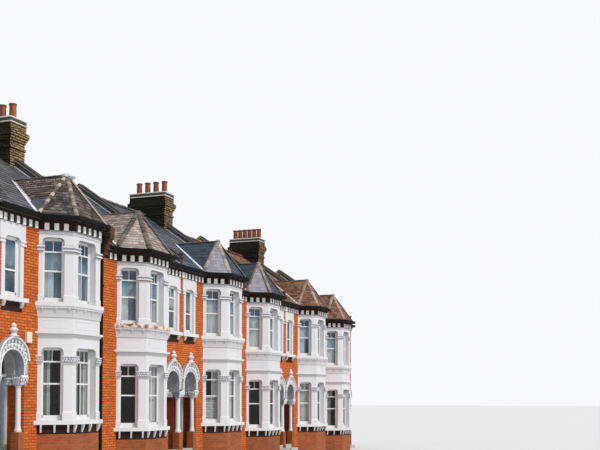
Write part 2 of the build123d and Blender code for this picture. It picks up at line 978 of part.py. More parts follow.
def bay_piers(front_width, low, high):
    """Two half piers at the house wall and two corner piers between the windows."""
    (cant_start, cant_width), (front_start, _) = openings_of(front_width)
    along = (bay_cant / cant_length, -bay_projection / cant_length)
    into = (bay_projection / cant_length, bay_cant / cant_length)

    def on_cant_line(distance, depth):
        return (
            distance * along[0] + depth * into[0],
            distance * along[1] + depth * into[1],
        )
    house_pier = [
        (0.0, 0.0),
        bay_point(0, -stone_depth),
        on_cant_line(cant_start, stone_depth),
        on_cant_line(cant_start, 0),
    ]
    corner_pier = [
        on_cant_line(cant_start + cant_width, 0),
        on_cant_line(cant_start + cant_width, stone_depth),
        bay_point(1, -stone_depth),
        (bay_cant + front_start, -bay_projection + stone_depth),
        (bay_cant + front_start, -bay_projection),
        bay_point(1, 0),
    ]
    outlines = [house_pier, corner_pier, mirror_points(corner_pier), mirror_points(house_pier)]
    return [upright(to_house(outline), low, high) for outline in outlines]


def capitals(front_width, low, high):
    """Carved capitals in front of the piers."""
    (cant_start, cant_width), (front_start, _) = openings_of(front_width)
    out = capital_projection
    along = (bay_cant / cant_length, -bay_projection / cant_length)
    away = (-bay_projection / cant_length, -bay_cant / cant_length)

    def on_cant_line(distance, outwards):
        return (
            distance * along[0] + outwards * away[0],
            distance * along[1] + outwards * away[1],
        )
    house_cap = [bay_point(0, out), (0.0, 0.0)]
    house_cap += [on_cant_line(cant_start, 0), on_cant_line(cant_start, out)]
    corner_cap = [
        on_cant_line(cant_start + cant_width, out),
        on_cant_line(cant_start + cant_width, 0),
        bay_point(1, 0),
        (bay_cant + front_start, -bay_projection),
        (bay_cant + front_start, -bay_projection - out),
        bay_point(1, out),
    ]
    outlines = [house_cap, corner_cap, mirror_points(corner_cap), mirror_points(house_cap)]
    return [upright(to_house(outline), low, high) for outline in outlines]


def bay_heads(front_width, low, crown, high):
    """Slabs over the windows of a storey, each cut by its round-cornered opening."""
    (cant_start, cant_width), (front_start, _) = openings_of(front_width)
    slabs = facet_slabs(-stone_depth, 0, low, high)
    cutters = on_facets(
        head_cutter(cant_start, cant_width, low - 1, crown, -1, stone_depth + 1),
        head_cutter(front_start, front_width, low - 1, crown, -1, stone_depth + 1),
    )
    return [slab - cutter for slab, cutter in zip(slabs, cutters)]


def bay_windows(make, front_width, low, crown):
    """Frames or glass behind the three openings of one storey of a bay."""
    pieces = []
    for start, width in openings_of(front_width):
        x_range = (start - frame_lap, start + width + frame_lap)
        pieces.append(make(x_range, stone_depth, (low, crown + frame_lap)))
    return on_facets(*pieces)


def sill_slabs(low):
    return facet_slabs(-stone_depth, sill_projection, low, low + sill_height)


def string_profile():
    """Cove and lip of the string course, as distances out and heights."""
    lip = string_height / 2
    points = [(0.0, string_bottom), (string_projection * 0.35, string_bottom)]
    for step in range(1, 4):
        angle = pi / 2 * step / 3
        out = string_projection * (0.35 + 0.65 * (1 - cos(angle)))
        points.append((out, string_bottom + lip * sin(angle)))
    return points + [(string_projection, string_top), (0.0, string_top)]


# Porch
def arch_ring():
    """Moulded arch: a ring that thickens to its crown on stilted legs, with a hood mould."""
    outer, centre = arch_outer_radius, porch_centre
    ring = disc(centre, arch_outer_centre, outer, -arch_projection, brick_wall)
    ring += block(
        (centre - outer, centre + outer),
        (-arch_projection, brick_wall),
        (impost_level, arch_outer_centre),
    )
    hood_front = -arch_projection - hood_projection
    hood = disc(centre, arch_outer_centre, outer, hood_front, -arch_projection)
    hood -= disc(centre, arch_outer_centre, outer - hood_width, hood_front - 1, 0)
    hood -= block((centre - 2 * outer, centre + 2 * outer), (hood_front, 0), (0, arch_outer_centre))
    opening = disc(centre, arch_inner_centre, arch_inner_radius, hood_front, brick_wall + 1)
    opening += block(
        (centre - arch_inner_radius, centre + arch_inner_radius),
        (hood_front, brick_wall + 1),
        (0, arch_inner_centre),
    )
    opening += block((centre - outer, centre + outer), (hood_front, brick_wall), (0, impost_level))
    return ring + hood - opening


def split_ring(ring, centre_x, centre_z, count):
    """Cut a ring into stones by joints that point at its centre."""
    reach = 4 * arch_outer_radius
    joint = mortar_joint / 2 / arch_outer_radius
    legs = 0.9
    stones = []
    for number in range(count):
        first = pi * number / count + joint - (legs if number == 0 else 0)
        second = pi * (number + 1) / count - joint + (legs if number == count - 1 else 0)
        fan = [(centre_x, centre_z)]
        fan += [
            (centre_x + reach * cos(angle), centre_z + reach * sin(angle))
            for angle in (first, second)
        ]
        stones += (ring & inward(fan, -reach, reach)).solids()
    return stones


def arch_stones():
    return split_ring(arch_ring(), porch_centre, arch_inner_centre, arch_stone_count)


def vault_stones():
    """Barrel vault over the recess, between the arch and the door frame."""
    outer = (recess_end - recess_start) / 2
    inner = outer - vault_thickness
    start, end = brick_wall + mortar_joint, door_plane
    ring = disc(recess_middle, vault_centre, outer, start, end)
    ring += block((recess_start, recess_end), (start, end), (impost_level, vault_centre))
    ring -= disc(recess_middle, vault_centre, inner, start - 1, end + 1)
    ring -= block(
        (recess_middle - inner, recess_middle + inner),
        (start - 1, end + 1),
        (0, vault_centre),
    )
    ring -= block((recess_start, recess_end), (start, end), (0, impost_level))
    return split_ring(ring, recess_middle, vault_centre, vault_stone_count)


def frieze_bands():
    """Carved bands that the vault springs from, on both sides of the recess."""
    y_range, z_range = (brick_wall + mortar_joint, door_plane), (column_top, impost_level)
    return [
        block((recess_start, recess_start + vault_thickness), y_range, z_range),
        block((recess_end - vault_thickness, recess_end), y_range, z_range),
    ]


def recess_walls():
    """Brick wall beside the recess, and the wall over the door frame."""
    ceiling = first_floor_level - floor_thickness
    side = block(
        (recess_end, recess_end + side_wall),
        (brick_wall, door_plane + door_frame_depth),
        (ground_floor_level, ceiling),
    )
    over = block(
        (recess_start, recess_end),
        (door_plane, door_plane + door_frame_depth),
        (door_frame_top, ceiling),
    )
    return [side, over]


def column(x, radius):
    """Round column with a moulded base and a necking."""
    base = column_foot + column_base_height
    foot_radius = radius + column_base_spread
    profile = [
        (0, column_foot),
        (foot_radius, column_foot),
        (foot_radius, column_foot + column_base_height * 0.3),
        (radius + column_base_spread * 0.45, column_foot + column_base_height * 0.6),
        (radius, base),
        (radius * 0.93, column_top - 3 * necking),
        (radius + necking, column_top - 2 * necking),
        (radius + necking, column_top),
        (0, column_top),
    ]
    return turned(profile, x, column_depth)


def capital(x, radius, x_range):
    """Bell that spreads from a round column to the legs of an arch, under a square block."""
    bell_top = impost_level - abacus_height
    y_range = (-arch_projection, brick_wall)
    low = [(x + sx * radius, column_depth + sy * radius) for sx, sy in corner_signs]
    high = [(x_range[max(sx, 0)], y_range[max(sy, 0)]) for sx, sy in corner_signs]
    rings = [
        Wire.make_polygon([Vector(*point, z) for point in points], close=True)
        for points, z in ((low, column_top), (high, bell_top))
    ]
    return Solid.make_loft(rings, ruled=True) + block(x_range, y_range, (bell_top, impost_level))


corner_signs = [(-1, -1), (1, -1), (1, 1), (-1, 1)]


def nook_pieces():
    """Capital over the nook column, with the impost stone that it is carved from."""
    reach = (column_line - nook_capital_reach, arch_leg_end)
    top = capital(column_line, column_radius, reach)
    return [top + block((nook_edge, arch_leg_end), (0, brick_wall), (column_top, impost_level))]


def shared_pieces(make):
    """Pieces on the party lines that two porches share, cut off at the ends of the row."""
    pieces = []
    for line in range(0, house_count + 1, 2):
        piece = make(-ground(min(line, house_count - 1)))
        if line in (0, house_count):
            inside = -half_wall if line == 0 else -house_width
            piece = piece & block(
                (inside, inside + house_width + (0 if line == 0 else half_wall)),
                (-house_width, house_width),
                (-house_width, 2 * house_width),
            )
        height = ground(min(line, house_count - 1))
        pieces.append(Location((line * house_width, 0, height)) * piece)
    return pieces


def shared_capital(_):
    reach = porch_centre - arch_inner_radius
    return capital(0, shared_column_radius, (-reach, reach))


def shared_column(_):
    return column(0, shared_column_radius)


def shared_pedestal(foot):
    return block(
        (-pedestal_half, pedestal_half), (-pedestal_projection, brick_wall), (foot, column_foot)
    )


def nook_pedestal(house):
    """Dwarf wall under the nook column."""
    return place(
        block(
            (column_line - pedestal_half, nook_edge),
            (-pedestal_projection, brick_wall),
            (-ground(house), column_foot),
        ),
        house,
    )


def porch_steps(house):
    """Threshold between the pedestals and one step in front of it."""
    width = (pedestal_half, column_line - pedestal_half)
    tread = ground_floor_level - step_rise
    steps = block(width, (-step_going, brick_wall), (-ground(house), tread))
    steps += block(width, (0, brick_wall), (tread, ground_floor_level))
    return place(steps, house)


def finial():
    """Turned urn on a moulded pedestal over the crown of the arch, engaged with the wall."""
    crown = arch_outer_centre + arch_outer_radius
    shape = [
        (1.15, -0.1), (1.15, 0.06), (0.8, 0.1), (0.6, 0.24), (0.7, 0.3), (1.0, 0.44), (1.0, 0.52),
        (0.45, 0.66), (0.6, 0.74), (0.6, 0.84), (0.2, 0.96),
    ]
    profile = [(finial_radius * radius, crown + finial_height * z) for radius, z in shape]
    profile = [(0, profile[0][1])] + profile + [(0, crown + finial_height)]
    urn = turned(profile, porch_centre, -finial_stand_off)
    seat = disc(porch_centre, arch_outer_centre, arch_outer_radius, -house_width, 0)
    hood = disc(porch_centre, arch_outer_centre, arch_outer_radius, -house_width, house_width)
    wall = block(
        (porch_centre - house_width, porch_centre + house_width), (0, house_width), (0, bay_apex)
    )
    return urn - seat - hood - wall


# Front door
def door_frame():
    """Two posts, a transom, and a head round the half-round fanlight."""
    y_range = (door_plane, door_plane + door_frame_depth)
    posts_top = transom_bottom + transom_height
    head = block((recess_start, recess_end), y_range, (posts_top, door_frame_top))
    light_x, light = (door_start, door_end), (door_plane - 1, y_range[1] + 1)
    head -= block(light_x, light, (posts_top - 1, vault_centre))
    head -= disc(recess_middle, vault_centre, (door_end - door_start) / 2, *light)
    legs = head.solids()
    return [
        block((recess_start, door_start), y_range, (ground_floor_level, posts_top)),
        block((door_end, recess_end), y_range, (ground_floor_level, posts_top)),
        block((door_start, door_end), y_range, (transom_bottom, posts_top)),
        *legs,
    ]


def fanlight():
    middle = door_plane + door_frame_depth / 2
    y_range = (middle - glass_thickness / 2, middle + glass_thickness / 2)
    low = transom_bottom + transom_height
    pane = block((door_start, door_end), y_range, (low, vault_centre))
    pane += disc(recess_middle, vault_centre, (door_end - door_start) / 2, *y_range)
    return pane & block((door_start, door_end), y_range, (low, door_frame_top))


def hinge_part(centre, side):
    """Knuckle and plate of one hinge half: side 1 on the leaf above, side -1 on the frame below."""
    low, high = sorted((centre + side * hinge_gap / 2, centre + side * hinge_length / 2))
    knuckle = Solid.make_cylinder(hinge_radius, high - low, Plane((hinge_x, hinge_y, low)))
    plate_x = sorted((hinge_x, hinge_x + side * hinge_plate_width))
    face = door_plane + door_frame_depth
    return knuckle + block(plate_x, (face, face + hinge_plate), (low, high))


def hinge_heights():
    low, high = door_low + hinge_inset, door_low + door_height - hinge_inset
    return [low, (low + high) / 2, high]


def door_leaf():
    """Four-panel door with its hinge halves."""
    face = door_plane + door_frame_depth
    front = face - door_thickness
    leaf = block(
        (door_start + door_clearance, door_end - door_clearance),
        (front, face),
        (door_low, door_low + door_height),
    )
    width = (door_end - door_start - 2 * door_clearance - 3 * door_stile) / 2
    lock_rail = door_low + door_height * 0.42
    rows = [
        (door_low + door_stile * 1.8, lock_rail - door_stile / 2),
        (lock_rail + door_stile / 2, door_low + door_height - door_stile),
    ]
    for column_number in range(2):
        x = door_start + door_clearance + door_stile + column_number * (width + door_stile)
        for z_range in rows:
            leaf -= block((x, x + width), (front - 1, front + panel_recess), z_range)
    for centre in hinge_heights():
        leaf += hinge_part(centre, 1)
    return leaf


# Window over the porch
def porch_window(make):
    x_range = (porch_window_start, porch_window_start + porch_window_width)
    return make(x_range, porch_window_reveal, (porch_window_bottom, porch_window_crown))


def window_surround():
    """Stone jambs that line the reveal, ringed imposts, and a shouldered head below the dentils."""
    middle, low = porch_window_centre, porch_window_bottom
    front = -surround_projection
    jamb = porch_window_width / 2 + surround_face
    head = jamb + head_overhang

    def slab(half, y_range, z_range):
        return block((middle - half, middle + half), y_range, z_range)
    stone = slab(jamb, (front, 0), (low, upper_capital_bottom))
    ring = (upper_head_bottom - upper_capital_bottom) / 3
    stone += slab(head - impost_ring, (front, 0), (upper_capital_bottom, upper_head_bottom))
    for step in (0, 2):
        ring_low = upper_capital_bottom + step * ring
        stone += slab(head + impost_ring, (front - impost_ring, 0), (ring_low, ring_low + ring))
    stone += slab(head, (front, 0), (upper_head_bottom, dentil_bottom - head_clearance))
    stone += slab(porch_window_width / 2, (0, porch_window_reveal), (low, porch_window_crown))
    opening = head_cutter(
        porch_window_start + surround_lining,
        porch_window_width - 2 * surround_lining,
        low - 1,
        porch_window_crown - surround_lining,
        front - impost_ring - 1,
        porch_window_reveal + 1,
    )
    return stone - opening


def bracketed_sill():
    """Sill in front of the wall under the window, on two brackets."""
    half = porch_window_width / 2 + porch_sill_overhang
    low, middle = porch_window_bottom - sill_height, porch_window_centre
    sill = block((middle - half, middle + half), (-sill_projection, 0), (low, porch_window_bottom))
    for side in (-1, 1):
        centre = middle + side * bracket_spacing / 2
        outline = [
            (0, low),
            (-sill_projection * 0.8, low),
            (-sill_projection * 0.8, low - bracket_height * 0.3),
            (-sill_projection * 0.3, low - bracket_height),
            (0, low - bracket_height),
        ]
        sill += across(outline, centre - bracket_width / 2, centre + bracket_width / 2)
    return sill


# Downpipe
def downpipe():
    """Pipe with a bend up to the gutter, on brackets, beside the first stepped party wall."""
    x = house_width - pipe_from_line
    wall_y, gutter_y = -pipe_stand_off - pipe_radius, -eaves_overhang - gutter_width * 0.6
    bend, top = dentil_bottom - 2 * pipe_radius, gutter_bottom
    points = [Vector(x, wall_y, pipe_foot), Vector(x, wall_y, bend), Vector(x, gutter_y, top)]
    pipe = bar_between(points[0], points[1], pipe_radius)
    pipe += Location(points[1]) * Solid.make_sphere(pipe_radius, angle1=-90)
    run_on = (points[2] - points[1]).normalized() * pipe_radius
    pipe += bar_between(points[1], points[2] + run_on, pipe_radius)
    pipe -= block((0, house_width), (-house_width, 0), (top, roof_foot))
    for number in range(pipe_brackets):
        z = pipe_foot + (bend - pipe_foot) * (number + 0.5) / pipe_brackets
        pipe += block((x - pipe_radius, x + pipe_radius), (wall_y, 0), (z, z + bracket_width / 2))
    return pipe


# Coves under the upper sills
def cove_profile():
    points = [(0.0, cove_bottom), (cove_projection * 0.3, cove_bottom)]
    height = upper_sill_bottom - cove_bottom
    for step in range(1, 5):
        angle = pi / 2 * step / 4
        out = cove_projection * (0.3 + 0.7 * (1 - cos(angle)))
        points.append((out, cove_bottom + height * 0.8 * sin(angle)))
    return points + [(cove_projection, upper_sill_bottom), (0.0, upper_sill_bottom)]


lower_sill_top = lower_sill_bottom + sill_height
upper_sill_top = upper_sill_bottom + sill_height

export("party_walls", [party_wall(line) for line in range(house_count + 1)])
export("party_wall_copings", [s for line in range(house_count + 1) for s in copings(line)])
export("kneelers", [s for line in range(house_count + 1) for s in kneelers(line)])
export("front_piers", [s for house in range(house_count) for s in front_piers(house)])
export("walls_over_porch", [s for house in range(house_count) for s in walls_over_porch(house)])
export("rear_walls", [rear_wall(house) for house in range(house_count)])
export("first_floors", each_house([floor_slab(first_floor_level)]))
export("ground_floors", each_house([floor_slab(ground_floor_level)]))
export("front_roof_slopes", [
    place(front_slope(party_side(house)), house) for house in range(house_count)
])
export("rear_roof_slopes", each_house([rear_slope()]))
export("ridge_tiles", each_house([ridge_tiles()]))
export("bay_roofs", each_house([bay_roof()]))
export("bay_hip_tiles", each_house([bay_hips()]))
export("chimney_stacks", [on_line(chimney_stack(), line) for line in stack_lines()])
export("chimney_caps", [on_line(chimney_cap(), line) for line in stack_lines()])
export("chimney_pots", chimney_pots())
export("gutters", [
    place(length, house) for house in range(house_count) for length in gutters(party_side(house))
])
export("eaves_courses", [
    place(length, house)
    for house in range(house_count)
    for length in eaves_lengths(
        party_side(house), 0, eaves_course_projection, eaves_course_bottom, bay_eaves_top
    )
])
export("dentils", each_house(dentils()) + shared_pieces(line_corbel))
export("bay_bases", [
    place(slab, house)
    for house in range(house_count)
    for slab in facet_slabs(-stone_depth, 0, -ground(house), lower_sill_bottom)
])
export("bay_sills", each_house(sill_slabs(lower_sill_bottom) + sill_slabs(upper_sill_bottom)))
export("lower_bay_piers", each_house(
    bay_piers(lower_front_opening, lower_sill_top, lower_head_bottom)
))
export("upper_bay_piers", each_house(
    bay_piers(upper_front_opening, upper_sill_top, upper_head_bottom)
))
export("bay_capitals", each_house(
    capitals(lower_front_opening, lower_capital_bottom, lower_head_bottom)
    + capitals(upper_front_opening, upper_capital_bottom, upper_head_bottom)
))
export("lower_bay_heads", each_house(
    bay_heads(lower_front_opening, lower_head_bottom, lower_crown, string_top)
))
export("upper_bay_heads", each_house(
    bay_heads(upper_front_opening, upper_head_bottom, upper_crown, bay_eaves_top)
))
export("string_courses", each_house(facet_mouldings(string_profile())))
export("bay_spandrels", each_house(facet_slabs(-stone_depth, 0, string_top, upper_sill_bottom)))
export("spandrel_coves", each_house(facet_mouldings(cove_profile())))
lower_windows = (lower_front_opening, lower_sill_top, lower_crown)
upper_windows = (upper_front_opening, upper_sill_top, upper_crown)
export("bay_window_frames", each_house(
    bay_windows(sash_frame, *lower_windows) + bay_windows(sash_frame, *upper_windows)
))
export("bay_window_glass", each_house(
    bay_windows(sash_glass, *lower_windows) + bay_windows(sash_glass, *upper_windows)
))
export("rear_window_frames", each_house(rear_windows(sash_frame)))
export("rear_window_glass", each_house(rear_windows(sash_glass)))
export("rear_window_sills", each_house([rear_sill(*opening) for opening in rear_openings()]))
export("porch_arches", each_house(arch_stones()))
export("porch_vaults", each_house(vault_stones()))
export("porch_friezes", each_house(frieze_bands()))
export("porch_recess_walls", each_house(recess_walls()))
export("porch_columns", each_house([column(column_line, column_radius)]) + shared_pieces(shared_column))
export("porch_capitals", each_house(nook_pieces()) + shared_pieces(shared_capital))
export("porch_pedestals", [
    nook_pedestal(house) for house in range(house_count)
] + shared_pieces(shared_pedestal))
export("porch_steps", [porch_steps(house) for house in range(house_count)])
export("porch_finials", each_house([finial()]))
export("porch_window_surrounds", each_house([window_surround()]))
export("porch_window_sills", each_house([bracketed_sill()]))
export("porch_window_frames", each_house([porch_window(sash_frame)]))
export("porch_window_glass", each_house([porch_window(sash_glass)]))
export("door_frames", each_house(door_frame()))
export("fanlights", each_house([fanlight()]))
export("door_hinges", each_house([hinge_part(centre, -1) for centre in hinge_heights()]))
for house in range(house_count):
    export(f"front_door_{'abcdef'[house]}", [place(door_leaf(), house)])
export("downpipe", [place(downpipe(), 0)])
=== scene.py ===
import bmesh
import bpy
import random
from math import atan2, cos, hypot, pi, radians, sin, tan
from mathutils import Matrix, Vector


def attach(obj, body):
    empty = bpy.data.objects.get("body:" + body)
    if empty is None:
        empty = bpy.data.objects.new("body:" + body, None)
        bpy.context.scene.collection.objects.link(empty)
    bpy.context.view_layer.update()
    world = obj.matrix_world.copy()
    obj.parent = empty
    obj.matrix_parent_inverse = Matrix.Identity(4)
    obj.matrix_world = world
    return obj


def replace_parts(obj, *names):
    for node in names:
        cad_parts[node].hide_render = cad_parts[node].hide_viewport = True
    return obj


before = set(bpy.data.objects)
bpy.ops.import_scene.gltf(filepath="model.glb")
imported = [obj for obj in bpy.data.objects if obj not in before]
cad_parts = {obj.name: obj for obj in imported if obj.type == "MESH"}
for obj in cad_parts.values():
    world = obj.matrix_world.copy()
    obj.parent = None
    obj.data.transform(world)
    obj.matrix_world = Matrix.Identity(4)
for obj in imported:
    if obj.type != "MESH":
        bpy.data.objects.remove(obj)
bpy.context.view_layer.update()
ROOT = "house_row"
dice = random.Random(11)

# Sizes in metres, the same as in the part's source. Heights are above a house's own ground.
HOUSES, WIDTH, DEPTH = 6, 4.8, 8.2
LETTERS = "abcdef"
STEP, STEPS_DOWN = 0.3, 3
SHIFT_X, SHIFT_Y = -14.4, -3.75
PORCH_ZONE, BAY, OUT, CANT = 1.68, 2.4, 0.7, 0.56
CANT_LENGTH = hypot(CANT, OUT)
FRONT = BAY - 2 * CANT
MIDDLE = PORCH_ZONE + BAY / 2
HALF_WALL, OVERHANG = 0.1125, 0.15
ROOF_FOOT, PITCH = 6.68, 0.69
RIDGE = DEPTH / 2
APEX, BAY_FOOT = 7.93045, 6.56445
SIDE_SLOPE = (APEX - BAY_FOOT) / (BAY / 2 + OVERHANG)
STACK_FRONT, STACK_LENGTH, STACK_WIDTH = 3.17, 1.56, 0.70
SHAFT_TOP, CAP_FOOT, CAP_TOP, POT_TOP = 9.69, 10.25, 10.43, 10.91
LOWER_PIER, UPPER_PIER = 0.17, 0.22
CANT_OPENING = (0.095, 0.665)
PORCH_MIDDLE = 0.62
REAR_WIDTH, REAR_HEIGHT, REAR_SPACING, REAR_REVEAL, REAR_SILLS = 1.05, 1.5, 2.3, 0.1, (1.2, 4.29)
# Sizes that only the looks need: length and course of the bricks, and foot of the upstairs top sashes
BRICK, COURSE, TOP_SASH_FOOT = 0.225, 0.075, 5.14
# How far a moulding grows along a facet for each metre that it stands out
WALL_END, CORNER = -CANT / OUT, tan(atan2(OUT, CANT) / 2)
MIRROR = Matrix.Scale(-1, 4, (1, 0, 0))


def ground(house):
    return (STEPS_DOWN - (house + 1) // 2) * STEP


def house_matrix(house):
    """From a house's own frame (x from its porch-side party line) to the row frame."""
    mirrored = house % 2
    place = Matrix.Translation((SHIFT_X + (house + mirrored) * WIDTH, SHIFT_Y, ground(house)))
    return place @ MIRROR if mirrored else place


def facet_matrix(house, facet):
    """From distance along a bay facet, depth behind it and height, to the row frame."""
    along, inward = Vector((CANT, -OUT, 0)) / CANT_LENGTH, Vector((OUT, CANT, 0)) / CANT_LENGTH
    start = (PORCH_ZONE, 0, 0)
    if facet == 1:
        along, inward, start = (1, 0, 0), (0, 1, 0), (PORCH_ZONE + CANT, -OUT, 0)
    local = Matrix.Translation(start) @ Matrix((along, inward, (0, 0, 1))).transposed().to_4x4()
    if facet == 2:
        local = Matrix.Translation((2 * PORCH_ZONE + BAY, 0, 0)) @ MIRROR @ local
    return house_matrix(house) @ local


def line_matrix(line):
    """From a party line's frame to the row frame; the ground is that of the house to its left."""
    return Matrix.Translation((SHIFT_X + line * WIDTH, SHIFT_Y, ground(max(line - 1, 0))))


def facet_length(facet):
    return FRONT if facet == 1 else CANT_LENGTH


def facet_ends(facet):
    """The ends of a moulding along a facet, each as a distance and its growth per metre out."""
    return (0.0, -CORNER if facet == 1 else WALL_END), (facet_length(facet), CORNER)


def pier_spans(facet, pier):
    """The ends of a moulding on each of the two window piers of a facet."""
    first, last = facet_ends(facet)
    near, far = (pier, FRONT - pier) if facet == 1 else CANT_OPENING
    return (first, (near, 1.0)), ((far, -1.0), last)


def span(middle, half):
    return middle - half, middle + half


def spaced(start, end, count, shift=0.5):
    """Evenly spaced places from start to end, each at a share of its own space."""
    return [start + (end - start) * (number + shift) / count for number in range(count)]


def circle(count):
    return spaced(0, 2 * pi, count, 0)


def slab(out, low, high):
    """Flat band between two heights."""
    return [(0.0, low), (out, low), (out, high), (0.0, high)]


def roll(out, low, high, back=0.0):
    """Half-round moulding between two heights."""
    centre, half = (low + high) / 2, (high - low) / 2
    bulge = min(half, out - back)
    curve = [-pi / 2 + pi * number / 6 for number in range(7)]
    points = [(out - bulge + bulge * cos(a), centre + half * sin(a)) for a in curve]
    return [(back, low)] + points + [(back, high)]


def add_object(name, data):
    made = bpy.data.objects.new(name, data)
    bpy.context.scene.collection.objects.link(made)
    return made


class Pile:
    """Collects faces, with a shade number for each, into one mesh."""

    def __init__(self, name):
        self.name, self.points, self.faces, self.shades = name, [], [], []

    def add(self, matrix, points, faces, shade=0.5):
        base = len(self.points)
        self.points += [matrix @ Vector(point) for point in points]
        order = -1 if matrix.determinant() < 0 else 1
        for face in faces:
            self.faces.append([base + number for number in face[::order]])
            self.shades.append(shade)

    def box(self, matrix, xs, ys, zs):
        points = [(x, y, z) for z in zs for y in ys for x in xs]
        faces = [(0, 2, 3, 1), (4, 5, 7, 6), (0, 1, 5, 4), (2, 6, 7, 3), (0, 4, 6, 2), (1, 3, 7, 5)]
        self.add(matrix, points, faces)

    def loft(self, matrix, near, far):
        """Solid between two outlines with as many points each."""
        count = len(near)
        faces = [tuple(range(count)), tuple(range(2 * count - 1, count - 1, -1))]
        faces += [(i, i + count, (i + 1) % count + count, (i + 1) % count) for i in range(count)]
        self.add(matrix, near + far, faces)

    def prism(self, matrix, outline, start, end):
        """Carry a (y, z) outline along x."""
        self.loft(matrix, *([(x, *pair) for pair in outline] for x in (start, end)))

    def run(self, matrix, profile, *ends):
        """Carry (out, height) points along a facet; each end is (distance, growth per metre out)."""
        self.loft(matrix, *([(s + growth * out, -out, z) for out, z in profile] for s, growth in ends))

    def tube(self, matrix, rings):
        """Skin over closed rings of points, with both ends capped."""
        size, faces = len(rings[0]), []
        last = (len(rings) - 1) * size
        for base in range(0, last, size):
            for step in range(size):
                a, b = base + step, base + (step + 1) % size
                faces.append((a, b, b + size, a + size))
        faces += [tuple(range(size))[::-1], tuple(range(last, last + size))]
        self.add(matrix, sum(rings, []), faces)

    def turn(self, matrix, profile, segments):
        """Round piece about the local z axis from (radius, height) pairs."""
        rings = [[(r * cos(a), r * sin(a), z) for a in circle(segments)] for r, z in profile]
        self.tube(matrix, rings)

    def arch(self, matrix, height, radius, bar, y):
        """Round bar bent over the porch in a half circle, in the plane of the wall."""
        steps, rings = 30, []
        for angle in (pi * step / steps for step in range(steps + 1)):
            ring = []
            for turn in circle(8):
                reach = radius + bar * cos(turn)
                x, z = PORCH_MIDDLE + reach * cos(angle), height + reach * sin(angle)
                ring.append((x, y + bar * sin(turn), z))
            rings.append(ring)
        self.tube(matrix, rings)

    def ball(self, matrix, centre, radii, turn=0.0, shade=0.5, segments=6, rings=4):
        """Ellipsoid with its long axis turned in the x-z plane."""
        spin = Matrix.Translation(centre) @ Matrix.Rotation(turn, 4, "Y")
        points, faces = [(0, 0, -radii[2]), (0, 0, radii[2])], []
        for rise in (pi * ring / rings - pi / 2 for ring in range(1, rings)):
            for around in circle(segments):
                x, y = radii[0] * cos(rise) * cos(around), radii[1] * cos(rise) * sin(around)
                points.append((x, y, radii[2] * sin(rise)))
        top = 2 + (rings - 2) * segments
        for step in range(segments):
            following = (step + 1) % segments
            faces += [(0, 2 + following, 2 + step), (1, top + step, top + following)]
            for base in range(2, top, segments):
                a, b = base + step, base + following
                faces.append((a, b, b + segments, a + segments))
        self.add(matrix @ spin, points, faces, shade)

    def round_bay(self, house, profile):
        """A moulding round the three facets of a bay, mitred at its corners."""
        for facet in range(3):
            self.run(facet_matrix(house, facet), profile, *facet_ends(facet))

    def on_piers(self, house, pier, profile):
        """A moulding on the window piers only, turned into the openings at its ends."""
        for facet in range(3):
            for ends in pier_spans(facet, pier):
                self.run(facet_matrix(house, facet), profile, *ends)

    def build(self, material, slot=None, smooth=False, bevel=0.0, body=ROOT, closed=False):
        mesh = bpy.data.meshes.new(self.name)
        mesh.from_pydata(self.points, [], self.faces)
        mesh.attributes.new("shade", "FLOAT", "FACE").data.foreach_set("value", self.shades)
        mesh.materials.append(material)
        mesh.update()
        if closed:
            shape = bmesh.new()
            shape.from_mesh(mesh)
            bmesh.ops.recalc_face_normals(shape, faces=shape.faces)
            shape.to_mesh(mesh)
            shape.free()
        if smooth:
            mesh.shade_smooth()
        piece = add_object(self.name, mesh)
        if bevel:
            edge = piece.modifiers.new("soft_edges", "BEVEL")
            edge.width, edge.segments, edge.limit_method = bevel, 2, "ANGLE"
        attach(piece, body)
        return piece


# Materials
class Nodes:
    """Adds nodes to a tree."""

    def __init__(self, tree):
        self.tree = tree

    def feed(self, socket, value):
        """Give a socket another node's output, or a constant."""
        if hasattr(value, "links"):
            self.tree.links.new(value, socket)
        else:
            socket.default_value = (*value, 1) if socket.type == "RGBA" else value

    def node(self, kind, inputs=(), output=0, **settings):
        """One output of a new node, from a table of what its inputs get."""
        made = self.tree.nodes.new("ShaderNode" + kind)
        for name, value in settings.items():
            setattr(made, name, value)
        for name, value in dict(inputs).items():
            self.feed(made.inputs[name], value)
        return made.outputs[output]

    def math(self, operation, *values):
        return self.node("Math", enumerate(values), operation=operation)


# An axis, and how far a surface faces along it where an effect starts and where it is full
# Faces that get painted shade: undersides, left sides of chimneys (with soot) and of pots, and dentil sides
# along the row
UNDERSIDES = (2, -0.25, -0.8)
LEFT_SIDES = (0, -0.3, -0.8)
POT_SIDES = (0, -0.35, -0.95)
ROW_ENDS = (0, -0.85, -0.97)


